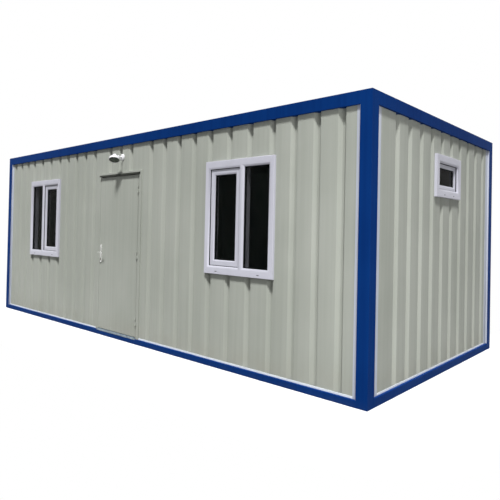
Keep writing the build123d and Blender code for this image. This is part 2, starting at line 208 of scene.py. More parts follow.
class Graph:
    """A node tree whose nodes all come from one method."""

    def __init__(self, tree: bpy.types.NodeTree) -> None:
        """Start an empty tree."""
        self.tree = tree
        tree.nodes.clear()

    def node(
        self,
        kind: str,
        settings: Mapping[str, object] | None = None,
        sockets: Mapping[str | int, object] | None = None,
    ) -> bpy.types.Node:
        """Add one node.

        Args:
            kind: The node's type.
            settings: Its properties, such as an operation, set first.
            sockets: The values or links of its inputs, by name or number.

        Returns:
            The node.
        """
        made = self.tree.nodes.new(kind)
        for name, value in (settings or {}).items():
            setattr(made, name, value)
        for key, value in (sockets or {}).items():
            self.feed(made.inputs[key], value)
        return made

    def feed(self, socket: bpy.types.NodeSocket, value: object) -> None:
        """Link a term to an input, or set the input's own value.

        Args:
            socket: The input.
            value: A term, or the plain value.
        """
        if isinstance(value, Term):
            self.tree.links.new(value.socket, socket)
        elif socket.type == "RGBA" and len(value) == 3:
            socket.default_value = (*value, 1.0)
        else:
            socket.default_value = value

    def term(
        self,
        kind: str,
        settings: Mapping[str, object] | None = None,
        sockets: Mapping[str | int, object] | None = None,
        output: str | int = 0,
    ) -> Term:
        """Add one node and wrap one of its outputs, by name or number."""
        return Term(self, self.node(kind, settings, sockets).outputs[output])


class Surface(Graph):
    """A material's nodes."""

    def __init__(self, tree: bpy.types.NodeTree) -> None:
        """Start with the place on the object and the output node.

        Args:
            tree: The material's node tree.
        """
        super().__init__(tree)
        self.place = self.term("ShaderNodeTexCoord", output="Object")
        parts = self.node("ShaderNodeSeparateXYZ", sockets={0: self.place})
        self.x, self.y, self.z = (Term(self, output) for output in parts.outputs)
        self.exit = self.node("ShaderNodeOutputMaterial")

    def noise(
        self, scale: float, detail: float = 2.0, stretch: Triple = (1, 1, 1), seed: float = 0.0,
    ) -> Term:
        """Smooth noise over the object.

        Args:
            scale: Waves in a metre.
            detail: How much finer noise is added.
            stretch: Factors on the three axes.
            seed: A shift that makes two noises differ.

        Returns:
            Values about 0.5.
        """
        vector = self.term(
            "ShaderNodeMapping",
            sockets={"Vector": self.place, "Location": (seed, seed, seed), "Scale": stretch},
        )
        return self.term("ShaderNodeTexNoise", sockets={"Vector": vector, "Scale": scale, "Detail": detail})

    def mixed(self, first: "Term | Colour", second: "Term | Colour", share: Term) -> Term:
        """A colour between two, by the share of the second."""
        return self.term("ShaderNodeMix", {"data_type": "RGBA"}, {0: share, 6: first, 7: second}, output=2)

    def bump(self, height: Term, distance: float) -> Term:
        """A normal from a height, whose full range is `distance` metres."""
        return self.term("ShaderNodeBump", sockets={"Height": height, "Distance": distance})

    def principled(self, **sockets: object) -> None:
        """End in one Principled shader. A keyword names a socket in small letters with underscores."""
        named = {key.replace("_", " ").title().replace("Ior", "IOR"): value for key, value in sockets.items()}
        shader = self.term("ShaderNodeBsdfPrincipled", sockets=named)
        self.feed(self.exit.inputs["Surface"], shader)


@dataclass(frozen=True, kw_only=True)
class Finish:
    """How one kind of surface looks, and the name of the record's slot that it belongs to, which nothing in
    this script reads.
    """

    name: str
    colour: Colour
    roughness: float
    slot: str | None = None

    def material(self) -> bpy.types.Material:
        """The material, made once.

        Returns:
            The material.
        """
        known = bpy.data.materials.get(self.name)
        if known:
            return known
        made = bpy.data.materials.new(self.name)
        made.use_nodes = True
        self.build(Surface(made.node_tree))
        return made

    def build(self, surface: Surface) -> None:
        """Add the nodes."""
        raise NotImplementedError


@dataclass(frozen=True, kw_only=True)
class Enamel(Finish):
    """Paint on sheet or steel, with drifts of tone, rain streaks and dust thrown up from the ground."""

    deep: Colour
    dust: Colour = srgb(150, 140, 122)
    dust_height: float = 0.45
    dust_share: float = 0.35
    streaks: float = 0.3
    peel: float = 0.00006
    waviness: float = 0.0006
    specular: float = 0.3
    drift_waves: float = 1.1
    speckle_waves: float = 160.0
    run_waves: Triple = (26.0, 26.0, 0.55)
    splash_waves: float = 7.0
    peel_waves: float = 420.0
    sheet_waves: float = 2.2

    def build(self, surface: Surface) -> None:
        """Add the nodes.

        Args:
            surface: The material's nodes.
        """
        drift = surface.noise(self.drift_waves, 3.0)
        speckle = surface.noise(self.speckle_waves, seed=3.0)
        runs = surface.noise(1.0, 4.0, stretch=self.run_waves, seed=7.0)
        tone = drift.ramped(0.32, 0.68) * 0.45 + runs.ramped(0.38, 0.7) * self.streaks + speckle * 0.12
        painted = surface.mixed(self.colour, self.deep, tone)
        splashes = surface.noise(self.splash_waves, 5.0, seed=11.0).ramped(0.35, 0.75)
        foot = surface.z.ramped(self.dust_height, 0.0) ** 1.5 * (0.35 + 0.65 * splashes)
        dusted = surface.mixed(painted, self.dust, foot * self.dust_share)
        orange_peel = surface.bump(surface.noise(self.peel_waves, 1.0, seed=5.0), self.peel)
        waves = surface.noise(self.sheet_waves, 1.0, seed=13.0)
        wavy = surface.term(
            "ShaderNodeBump", sockets={"Height": waves, "Distance": self.waviness, "Normal": orange_peel})
        surface.principled(
            base_color=dusted,
            roughness=self.roughness + 0.12 * (drift - 0.5) + 0.25 * foot,
            specular_ior_level=self.specular,
            normal=wavy,
        )


@dataclass(frozen=True, kw_only=True)
class Moulded(Finish):
    """Smooth plastic with clouds and specks of grime."""

    grime: Colour
    grime_share: float = 0.18
    specular: float = 0.4
    grain: float = 0.00002
    cloud_waves: float = 9.0
    speck_waves: float = 70.0
    grain_waves: float = 900.0

    def build(self, surface: Surface) -> None:
        """Add the nodes.

        Args:
            surface: The material's nodes.
        """
        clouds = surface.noise(self.cloud_waves, 4.0)
        specks = surface.noise(self.speck_waves, 3.0, seed=2.0)
        share = (clouds.ramped(0.42, 0.8) * self.grime_share
                 + specks.ramped(0.6, 0.85) * self.grime_share * 0.6)
        surface.principled(
            base_color=surface.mixed(self.colour, self.grime, share),
            roughness=self.roughness + 0.15 * (clouds - 0.5),
            specular_ior_level=self.specular,
            normal=surface.bump(surface.noise(self.grain_waves, 1.0, seed=4.0), self.grain),
        )


@dataclass(frozen=True, kw_only=True)
class Pane(Finish):
    """Glass whose own colour lies over what is behind it by `opacity`, with a faint film of dirt."""

    opacity: float
    film: Colour
    specular: float = 0.5

    def build(self, surface: Surface) -> None:
        """Add the nodes.

        Args:
            surface: The material's nodes.
        """
        film = surface.noise(4.0, 4.0, stretch=(1.0, 1.0, 0.5)).ramped(0.45, 0.85)
        surface.principled(
            base_color=surface.mixed(self.colour, self.film, film * 0.5),
            roughness=self.roughness + 0.05 * film,
            alpha=self.opacity + 0.06 * film,
            specular_ior_level=self.specular,
        )


@dataclass(frozen=True, kw_only=True)
class Metal(Finish):
    """Bare or plated metal with a drawn grain and dull patches."""

    dull: Colour
    grain_stretch: Triple = (1.0, 1.0, 30.0)
    grain: float = 0.00003
    metallic: float = 1.0
    patch_waves: float = 14.0
    grain_waves: float = 60.0

    def build(self, surface: Surface) -> None:
        """Add the nodes.

        Args:
            surface: The material's nodes.
        """
        patches = surface.noise(self.patch_waves, 4.0)
        lines = surface.noise(self.grain_waves, stretch=self.grain_stretch, seed=6.0)
        surface.principled(
            base_color=surface.mixed(self.colour, self.dull, patches.ramped(0.35, 0.75)),
            metallic=self.metallic,
            roughness=self.roughness + 0.2 * (patches - 0.5) + 0.1 * (lines - 0.5),
            normal=surface.bump(lines, self.grain),
        )


@dataclass(frozen=True, kw_only=True)
class Board(Finish):
    """Covered or bare board with a fibre grain along X and joints at one pitch."""

    fibre: Colour
    joint: Colour
    joint_pitch: float
    grain: float = 0.0001
    fibre_waves: float = 6.0
    fibre_stretch: Triple = (1.0, 14.0, 14.0)
    fleck_waves: float = 220.0

    def build(self, surface: Surface) -> None:
        """Add the nodes.

        Args:
            surface: The material's nodes.
        """
        fibres = surface.noise(self.fibre_waves, 6.0, stretch=self.fibre_stretch)
        flecks = surface.noise(self.fleck_waves, seed=8.0)
        along = (surface.x / self.joint_pitch).maths("FRACT")
        gap = along.ramped(0.004, 0.001) + along.ramped(0.996, 0.999)
        share = fibres.ramped(0.35, 0.7) * 0.6 + flecks.ramped(0.5, 0.8) * 0.3
        surface.principled(
            base_color=surface.mixed(surface.mixed(self.colour, self.fibre, share), self.joint, gap),
            roughness=self.roughness + 0.15 * (fibres - 0.5),
            normal=surface.bump(fibres * 0.6 - gap, self.grain),
        )


FRAME_BLUE = Enamel(
    name="frame_blue_enamel", slot="frame_blue", colour=srgb(12, 54, 118), deep=srgb(7, 41, 99),
    roughness=0.45, dust=srgb(70, 78, 92), dust_height=0.1, dust_share=0.2, waviness=0.0003, specular=0.01)
WALL_PAINT = Enamel(
    name="wall_sheet_paint", slot="wall_paint", colour=srgb(172, 175, 167), deep=srgb(156, 160, 151),
    roughness=0.5, dust_share=0.25, specular=0.1)
TRIM_PAINT = Enamel(
    name="trim_paint", slot="trim_paint", colour=srgb(200, 204, 214), deep=srgb(184, 189, 199),
    roughness=0.4, dust_height=0.14, dust_share=0.2)
# A darker copy of the trim paint for the corner trims and their rivets: the difference is painted shade.
SHADED_TRIM_PAINT = Enamel(
    name="corner_trim_paint", slot="trim_paint", colour=srgb(190, 195, 208), deep=srgb(176, 181, 194),
    roughness=0.45, dust_height=0.14, dust_share=0.2, specular=0.15)
ROOF_PAINT = Enamel(
    name="roof_sheet_paint", slot="roof_paint", colour=srgb(176, 178, 172), deep=srgb(142, 144, 138),
    roughness=0.5, dust_share=0.0, streaks=0.5)
HIDDEN_STEEL = Enamel(
    name="red_primer", slot="hidden_steel", colour=srgb(128, 66, 52), deep=srgb(92, 48, 40),
    roughness=0.7, dust_share=0.5, dust_height=0.3)
WINDOW_WHITE = Moulded(
    name="window_plastic", slot="window_white", colour=srgb(198, 198, 209), grime=srgb(175, 176, 184),
    roughness=0.32, specular=0.15)
WINDOW_SEAM = Moulded(
    name="window_seam", slot="window_white", colour=srgb(172, 172, 184), grime=srgb(150, 150, 158),
    roughness=0.5, specular=0.2)
# Near-black at this opacity: painted shade laid over the room that shows through the window panes.
GLASS_WITH_PAINTED_SHADE = Pane(
    name="window_pane", slot="window_glass", colour=srgb(8, 12, 11), film=srgb(24, 31, 28),
    roughness=0.03, opacity=0.22, specular=0.03)
RUBBER = Moulded(
    name="black_rubber", colour=srgb(24, 25, 27), grime=srgb(46, 46, 44), roughness=0.65, specular=0.15)
SEALANT = Moulded(
    name="grey_sealant", colour=srgb(150, 152, 148), grime=srgb(112, 112, 106), roughness=0.55, specular=0.2)
SPACER = Moulded(
    name="pane_spacer", colour=srgb(26, 28, 29), grime=srgb(40, 42, 42), roughness=0.6, specular=0.05)
DECK = Board(
    name="deck_cover", slot="deck_board", colour=srgb(120, 112, 100), fibre=srgb(98, 90, 80),
    joint=srgb(50, 46, 42), joint_pitch=1.22, roughness=0.5)
LINING = Board(
    name="lining_laminate", slot="lining_board", colour=srgb(222, 218, 206), fibre=srgb(206, 201, 188),
    joint=srgb(150, 146, 136), joint_pitch=1.22, roughness=0.4, grain=0.00003)
THRESHOLD_METAL = Metal(
    name="threshold_zinc", slot="threshold_metal", colour=srgb(140, 152, 160), dull=srgb(96, 110, 124),
    roughness=0.5, metallic=0.6, grain_stretch=(0.05, 1.0, 1.0))
# Dark grey: the cap's own dull steel, made darker to paint the shadow band that falls under the cap.
CAP_METAL_AND_PAINTED_SHADOW = Enamel(
    name="cap_weathered_steel", slot="drip_cap_metal", colour=srgb(62, 64, 58), deep=srgb(40, 42, 38),
    roughness=0.6, dust_share=0.0, specular=0.15)
LEVER_METAL = Metal(
    name="lever_satin_steel", slot="lever_metal", colour=srgb(206, 207, 203), dull=srgb(172, 173, 168),
    roughness=0.28, grain_stretch=(1.0, 1.0, 0.1))
STRIP = Moulded(
    name="cover_strip", slot="lining_board", colour=srgb(232, 230, 222), grime=srgb(200, 197, 188),
    roughness=0.4, specular=0.25)
ZINC = Metal(
    name="zinc_plate", colour=srgb(186, 188, 190), dull=srgb(140, 144, 148), roughness=0.4)
CYLINDER = Metal(
    name="lock_cylinder_metal", colour=srgb(112, 108, 98), dull=srgb(78, 74, 66), roughness=0.4)
LAMP_PAINT = Moulded(
    name="lamp_enamel", slot="lamp_paint", colour=srgb(230, 229, 232), grime=srgb(190, 190, 188),
    roughness=0.25, specular=0.35)
REFLECTOR = Metal(
    name="lamp_reflector", colour=srgb(150, 156, 140), dull=srgb(96, 104, 88), roughness=0.3)
BULB = Moulded(
    name="lamp_bulb", colour=srgb(214, 212, 200), grime=srgb(180, 178, 164), roughness=0.3, specular=0.3)
LAMP_LENS = Pane(
    name="lamp_lens", slot="lamp_lens", colour=srgb(78, 90, 74), film=srgb(112, 120, 104),
    roughness=0.12, opacity=0.5, specular=0.2)


class Shape:
    """A mesh in the making. Wall shapes use X to the right, Y into the wall and Z up."""

    def __init__(self) -> None:
        """Start with nothing."""
        self.points: list[Vector] = []
        self.faces: list[tuple[int, ...]] = []

    def box(self, x: Pair, y: Pair, z: Pair) -> "Shape":
        """Add a box from its ranges."""
        ring = [(x[0], y[0]), (x[1], y[0]), (x[1], y[1]), (x[0], y[1])]
        return self.loft([[(u, v, level) for u, v in ring] for level in z])

    def loft(self, rings: Sequence[Sequence[Triple]], closed: bool = False) -> "Shape":
        """Add a skin over rings that have the same number of points.

        Args:
            rings: The rings in order.
            closed: Whether the last ring joins the first. Open ends are capped.

        Returns:
            This shape.
        """
        start = len(self.points)
        size = len(rings[0])
        for ring in rings:
            self.points += [Vector(point) for point in ring]
        steps = len(rings) if closed else len(rings) - 1
        for step in range(steps):
            near = start + step * size
            far = start + (step + 1) % len(rings) * size
            for corner in range(size):
                after = (corner + 1) % size
                self.faces.append((near + corner, near + after, far + after, far + corner))
        if not closed:
            self.faces.append(tuple(start + corner for corner in reversed(range(size))))
            last = start + (len(rings) - 1) * size
            self.faces.append(tuple(last + corner for corner in range(size)))
        return self

    def strip(
        self,
        path: Sequence[Pair],
        section: Sequence[Pair],
        closed: bool = True,
        upright: Sequence[Pair] | None = None,
    ) -> "Shape":
        """Add a strip along a path in the wall's plane, with mitred corners.

        Args:
            path: Corners as (x, z).
            section: Outline as (distance to the left of the path, depth into the wall).
            closed: Whether the path closes.
            upright: The outline of the upright runs of a rectangle, where it is another one.

        Returns:
            This shape.
        """
        rings = []
        corners = [Vector(point) for point in path]
        for index, corner in enumerate(corners):
            before = corners[index - 1] if closed or index else None
            after = corners[(index + 1) % len(corners)] if closed or index + 1 < len(corners) else None
            arriving = (corner - before).normalized() if before else (after - corner).normalized()
            leaving = (after - corner).normalized() if after else arriving
            left = Vector((-arriving.y, arriving.x))
            next_left = Vector((-leaving.y, leaving.x))
            mitre = (left + next_left) / (1 + left.dot(next_left))
            rings.append([
                (corner.x + mitre.x * across, depth, corner.y + mitre.y * reach)
                for (reach, depth), (across, _) in zip(section, upright or section)])
        return self.loft(rings, closed)

    def lathe(
        self, profile: Sequence[Pair], sides: int = 32, matrix: Matrix = Matrix(), closed: bool = False,
    ) -> "Shape":
        """Add a turned body about Z.

        Args:
            profile: Points as (radius, height), from one end to the other.
            sides: Faces round the body.
            matrix: Where the body goes.
            closed: Whether the profile closes, as for a bowl.

        Returns:
            This shape.
        """
        rings = []
        for radius, height in profile:
            ring = []
            for side in range(sides):
                angle = math.tau * side / sides
                ring.append(matrix @ Vector((radius * math.cos(angle), radius * math.sin(angle), height)))
            rings.append(ring)
        return self.loft(rings, closed)

    def swept(
        self,
        path: Sequence[Triple],
        sizes: Sequence[Pair],
        up: Triple,
        power: float = 2.0,
        count: int = 16,
    ) -> "Shape":
        """Add a bar with an oval section along a path.

        Args:
            path: Its middle line.
            sizes: Half width and half height at each point of the path.
            up: The direction of the height, square to the path.
            power: 2 for an oval, and more for fuller corners.
            count: Points round the section.

        Returns:
            This shape.
        """
        line = [Vector(point) for point in path]
        rings = []
        for index, (point, size) in enumerate(zip(line, sizes)):
            along = line[min(index + 1, len(line) - 1)] - line[max(index - 1, 0)]
            across = along.cross(Vector(up)).normalized()
            rings.append(oval(point, across, up, size, power, count))
        return self.loft(rings)

    def relief(
        self,
        front: Sequence[Pair],
        back: float,
        levels: Sequence[float],
        holes: Sequence[tuple[Pair, Pair]] = (),
    ) -> "Shape":
        """Add an upright slab whose face follows an outline, with rectangular holes.

        Args:
            front: Points of the face as (x, depth), from left to right.
            back: Depth of the flat back.
            levels: Heights at which the slab is divided, from the lowest to the highest.
            holes: X and Z ranges that are left open, with edges on points and levels.

        Returns:
            This shape.
        """
        start = len(self.points)
        rows = len(levels)
        for x, depth in front:
            for level in levels:
                self.points += [Vector((x, depth, level)), Vector((x, back, level))]

        def corner(spot: tuple[int, int], side: int) -> int:
            """The number of a point, on the face (0) or on the back (1)."""
            return start + 2 * (spot[0] * rows + spot[1]) + side

        def solid(column: int, row: int) -> bool:
            """Whether a cell lies in the slab and in no hole.

            Args:
                column: The cell's place from the left.
                row: The cell's place from the foot.

            Returns:
                True where it is solid.
            """
            if not (0 <= column < len(front) - 1 and 0 <= row < rows - 1):
                return False
            x = (front[column][0] + front[column + 1][0]) / 2
            z = (levels[row] + levels[row + 1]) / 2
            return not any(across[0] < x < across[1] and up[0] < z < up[1] for across, up in holes)

        cells = [(column, row) for column in range(len(front) - 1) for row in range(rows - 1)]
        for column, row in (cell for cell in cells if solid(*cell)):
            ring = ((column, row), (column + 1, row), (column + 1, row + 1), (column, row + 1))
            self.faces.append(tuple(corner(spot, 0) for spot in ring))
            self.faces.append(tuple(corner(spot, 1) for spot in reversed(ring)))
            beside = ((column, row - 1), (column + 1, row), (column, row + 1), (column - 1, row))
            for index, neighbour in enumerate(beside):
                if not solid(*neighbour):
                    near, far = ring[index], ring[(index + 1) % 4]
                    self.faces.append((corner(far, 0), corner(near, 0), corner(near, 1), corner(far, 1)))
        return self

    def mesh(self, name: str, matrix: Matrix = Matrix()) -> bpy.types.Mesh:
        """The finished mesh, with doubles merged and faces outwards.

        Args:
            name: The mesh's name.
            matrix: Where the shape goes.

        Returns:
            The mesh.
        """
        made = bpy.data.meshes.new(name)
        made.from_pydata([matrix @ point for point in self.points], [], self.faces)
        work = bmesh.new()
        work.from_mesh(made)
        bmesh.ops.remove_doubles(work, verts=work.verts, dist=MERGE_DISTANCE)
        bmesh.ops.dissolve_degenerate(work, edges=work.edges, dist=MERGE_DISTANCE)
        loose = [vertex for vertex in work.verts if not vertex.link_faces]
        bmesh.ops.delete(work, geom=loose, context="VERTS")
        bmesh.ops.recalc_face_normals(work, faces=work.faces)
        work.to_mesh(made)
        work.free()
        return made


def rectangle(x: Pair, z: Pair) -> list[Pair]:
    """The corners of a rectangle, so that its inside lies to the left of the path."""
    return [(x[0], z[0]), (x[1], z[0]), (x[1], z[1]), (x[0], z[1])]


def oval(
    centre: Triple, across: Triple, up: Triple, size: Pair, power: float = 2.0, count: int = 20,
) -> list[Vector]:
    """A ring between an ellipse and a rectangle.

    Args:
        centre: Its middle.
        across: The direction of its first half size.
        up: The direction of its second half size.
        size: Half its width and half its height.
        power: 2 for an ellipse, and more for fuller corners.
        count: Points on the ring.

    Returns:
        The ring's points.
    """
    ring = []
    for step in range(count):
        angle = math.tau * step / count
        cosine, sine = math.cos(angle), math.sin(angle)
        reach = math.copysign(abs(cosine) ** (2 / power), cosine) * size[0]
        rise = math.copysign(abs(sine) ** (2 / power), sine) * size[1]
        ring.append(Vector(centre) + reach * Vector(across) + rise * Vector(up))
    return ring


def stadium(centre: Triple, half: Pair, count: int = 12) -> list[Vector]:
    """A ring in the wall's plane with straight sides and round ends.

    Args:
        centre: Its middle.
        half: Half its width and half its height.
        count: Points on each round end.

    Returns:
        The ring's points.
    """
    ring = []
    for way in (1, -1):
        for step in range(count):
            angle = math.pi * step / (count - 1)
            across = way * half[0] * math.cos(angle)
            rise = way * (half[1] - half[0] + half[0] * math.sin(angle))
            ring.append(Vector((centre[0] + across, centre[1], centre[2] + rise)))
    return ring


def filleted(corners: Sequence[Pair], radius: float, steps: int = 3) -> list[Pair]:
    """An open outline with its corners rounded, as a folded sheet has them.

    Args:
        corners: The sharp outline.
        radius: How round each fold is.
        steps: Straight pieces in each fold.

    Returns:
        The rounded outline.
    """
    line = [corners[0]]
    for before, corner, after in zip(corners, corners[1:], corners[2:]):
        here = Vector(corner)
        back = Vector(before) - here
        ahead = Vector(after) - here
        turn = math.pi - back.angle(ahead)
        reach = min(radius * math.tan(turn / 2), back.length / 2, ahead.length / 2)
        start = here + back.normalized() * reach
        end = here + ahead.normalized() * reach
        for share in (step / steps for step in range(steps + 1)):
            point = start * (1 - share) ** 2 + here * (2 * share * (1 - share)) + end * share**2
            line.append((point.x, point.y))
    line.append(corners[-1])
    return line


def divided(outline: Sequence[Pair], places: Sequence[float]) -> list[Pair]:
    """An outline from left to right with extra points at some values of X.

    Args:
        outline: Points as (x, depth).
        places: The values of X.

    Returns:
        All the points, from left to right.
    """
    extra = []
    for place in places:
        for (left, near), (right, far) in zip(outline, outline[1:]):
            if left < place < right:
                extra.append((place, near + (far - near) * (place - left) / (right - left)))
    return sorted([*outline, *extra])


class Repeater(Graph):
    """A Geometry Nodes tree with named inputs for its sizes, whose result is a plain mesh."""

    def __init__(self, name: str, sizes: Mapping[str, float | int]) -> None:
        """Start a tree.

        Args:
            name: The tree's name.
            sizes: The named inputs with their first values.
        """
        super().__init__(bpy.data.node_groups.new(name, "GeometryNodeTree"))
        face = self.tree.interface
        face.new_socket("Geometry", in_out="INPUT", socket_type="NodeSocketGeometry")
        for label, value in sizes.items():
            kind = "NodeSocketInt" if isinstance(value, int) else "NodeSocketFloat"
            face.new_socket(label, in_out="INPUT", socket_type=kind).default_value = value
        face.new_socket("Material", in_out="INPUT", socket_type="NodeSocketMaterial")
        face.new_socket("Geometry", in_out="OUTPUT", socket_type="NodeSocketGeometry")
        self.entry = self.node("NodeGroupInput")
        self.exit = self.node("NodeGroupOutput")

    def size(self, label: str) -> Term:
        """One of the named inputs."""
        return Term(self, self.entry.outputs[label])

    def end(self, geometry: Term) -> None:
        """End the tree in real geometry with the given material.

        Args:
            geometry: What the nodes have made.
        """
        real = self.term("GeometryNodeRealizeInstances", sockets={0: geometry})
        dressed = self.term(
            "GeometryNodeSetMaterial", sockets={"Geometry": real, "Material": self.size("Material")})
        self.feed(self.exit.inputs[0], dressed)

    def apply(
        self, carrier: bpy.types.Mesh, finish: Finish, sizes: Mapping[str, float | int],
    ) -> bpy.types.Mesh:
        """Run the tree on a mesh.

        Args:
            carrier: The points or edges that the tree works on.
            finish: What the result is made of.
            sizes: Values for the named inputs.

        Returns:
            The result as a plain mesh.
        """
        bearer = placed(carrier.name, carrier)
        modifier = bearer.modifiers.new(self.tree.name, "NODES")
        modifier.node_group = self.tree
        values = {**sizes, "Material": finish.material()}
        for item in self.tree.interface.items_tree:
            if item.in_out == "INPUT" and item.name in values:
                modifier[item.identifier] = values[item.name]
        plain = flattened(bearer)
        bpy.data.objects.remove(bearer)
        return plain


def placed(name: str, data: bpy.types.ID) -> bpy.types.Object:
    """A new object in the scene, which shows a mesh, a lamp or a camera.

    Args:
        name: The object's name.
        data: What the object shows.

    Returns:
        The object.
    """
    made = bpy.data.objects.new(name, data)
    bpy.context.scene.collection.objects.link(made)
    return made


def flattened(made: bpy.types.Object) -> bpy.types.Mesh:
    """An object's mesh with its modifiers' work in it.

    Args:
        made: The object.

    Returns:
        The finished mesh.
    """
    bpy.context.view_layer.update()
    graph = bpy.context.evaluated_depsgraph_get()
    return bpy.data.meshes.new_from_object(made.evaluated_get(graph), depsgraph=graph)


@dataclass(frozen=True)
class Head:
    """A screw's or rivet's head, with the washer or the rim that it sits on."""

    radius: float
    height: float
    crown: float
    overhang: float = 0.0002
    washer: float = 0.0003
    sides: int = 12

    @property
    def sizes(self) -> dict[str, float | int]:
        """The head as values for the tree's named inputs.

        Returns:
            The values by name.
        """
        return {
            "Head Radius": self.radius, "Head Height": self.height, "Crown": self.crown,
            "Overhang": self.overhang, "Washer Height": self.washer, "Sides": self.sides}


SHEET_SCREW = Head(0.0042, 0.0022, 0.55, overhang=0.002, washer=0.0008)
ROOF_SCREW = Head(0.0055, 0.0045, 0.8, overhang=0.0035, washer=0.002, sides=6)
TRIM_RIVET = Head(0.0036, 0.0014, 0.5)
HINGE_SCREW = Head(0.0036, 0.0011, 0.5)
PLATE_SCREW = Head(0.0042, 0.0012, 0.5)
ROSE_SCREW = Head(0.0035, 0.0025, 0.6)


class Fixings(Repeater):
    """Heads on washers, one on each point, that stand along the point's `facing`."""

    def __init__(self) -> None:
        """Build the tree."""
        super().__init__("fixings", {**SHEET_SCREW.sizes, "Washer Sides": 16, "Seed": 4})
        lift = self.term("ShaderNodeCombineXYZ", sockets={"Z": self.size("Washer Height")})
        head = self.term("GeometryNodeMeshCone", sockets={
            "Vertices": self.size("Sides"),
            "Radius Top": self.size("Head Radius") * self.size("Crown"),
            "Radius Bottom": self.size("Head Radius"),
            "Depth": self.size("Head Height"),
        })
        raised = self.term("GeometryNodeTransform", sockets={"Geometry": head, "Translation": lift})
        washer = self.term("GeometryNodeMeshCylinder", sockets={
            "Vertices": self.size("Washer Sides"),
            "Radius": self.size("Head Radius") + self.size("Overhang"),
            "Depth": self.size("Washer Height"),
        })
        washer_lift = self.term("ShaderNodeCombineXYZ", sockets={"Z": self.size("Washer Height") * 0.5})
        seated = self.term("GeometryNodeTransform", sockets={"Geometry": washer, "Translation": washer_lift})
        joined = self.node("GeometryNodeJoinGeometry")
        for part in (raised, seated):
            self.feed(joined.inputs[0], part)
        facing = self.term(
            "GeometryNodeInputNamedAttribute", {"data_type": "FLOAT_VECTOR"}, {"Name": "facing"}, "Attribute")
        upright = self.term("FunctionNodeAlignRotationToVector", {"axis": "Z"}, {"Vector": facing})
        turn = self.term(
            "FunctionNodeRandomValue", {"data_type": "FLOAT"}, {3: math.tau, "Seed": self.size("Seed")}, 1)
        spin = self.term("FunctionNodeAxisAngleToRotation", sockets={"Axis": (0, 0, 1), "Angle": turn})
        spun = self.term(
            "FunctionNodeRotateRotation", {"rotation_space": "LOCAL"},
            {"Rotation": upright, "Rotate By": spin})
        points = self.term("GeometryNodeMeshToPoints", sockets={0: self.size("Geometry")})
        self.end(self.term("GeometryNodeInstanceOnPoints", sockets={
            "Points": points, "Instance": Term(self, joined.outputs[0]), "Rotation": spun}))


class Bars(Repeater):
    """One flat bar on each point, for ribs and cover strips."""

    def __init__(self) -> None:
        """Build the tree."""
        super().__init__("bars", {"Length X": 0.01, "Length Y": 0.01, "Length Z": 0.01})
        lengths = self.term("ShaderNodeCombineXYZ", sockets={
            "X": self.size("Length X"), "Y": self.size("Length Y"), "Z": self.size("Length Z")})
        bar = self.term("GeometryNodeMeshCube", sockets={"Size": lengths})
        points = self.term("GeometryNodeMeshToPoints", sockets={0: self.size("Geometry")})
        self.end(self.term("GeometryNodeInstanceOnPoints", sockets={"Points": points, "Instance": bar}))


@dataclass(frozen=True)
class Bead:
    """A round bead of weld or sealant, and the ripples along it."""

    radius: float
    ripple: float
    ripple_length: float = 0.006
    step: float = 0.004
    sides: int = 8

    @property
    def sizes(self) -> dict[str, float | int]:
        """The bead as values for the tree's named inputs.

        Returns:
            The values by name.
        """
        return {
            "Radius": self.radius, "Ripple": self.ripple, "Ripple Length": self.ripple_length,
            "Step": self.step, "Sides": self.sides}


WELD = Bead(0.0034, 0.12, ripple_length=0.007, step=0.0035)
EAVES_BEAD = Bead(0.005, 0.05, step=0.03)
CAP_BEAD = Bead(0.0028, 0.15, ripple_length=0.03)
MITRE_SEAM = Bead(0.0005, 0.0, step=0.01, sides=6)


class Beads(Repeater):
    """A round bead along each run of edges, with ripples as a weld or a gun leaves them."""

    def __init__(self) -> None:
        """Build the tree."""
        super().__init__("beads", WELD.sizes)
        curve = self.term("GeometryNodeMeshToCurve", sockets={0: self.size("Geometry")})
        fine = self.term(
            "GeometryNodeResampleCurve", {"mode": "LENGTH"}, {"Curve": curve, "Length": self.size("Step")})
        along = self.term("GeometryNodeSplineParameter", output="Length")
        wave = (along / self.size("Ripple Length") * math.tau).maths("SINE")
        thickness = self.size("Radius") * (1 + self.size("Ripple") * (wave - 1))
        circle = self.term(
            "GeometryNodeCurvePrimitiveCircle", {"mode": "RADIUS"},
            {"Resolution": self.size("Sides"), "Radius": 1.0})
        swept = self.term("GeometryNodeCurveToMesh", sockets={
            "Curve": fine, "Profile Curve": circle, "Scale": thickness, "Fill Caps": True})
        self.end(self.term("GeometryNodeSetShadeSmooth", sockets={"Geometry": swept}))


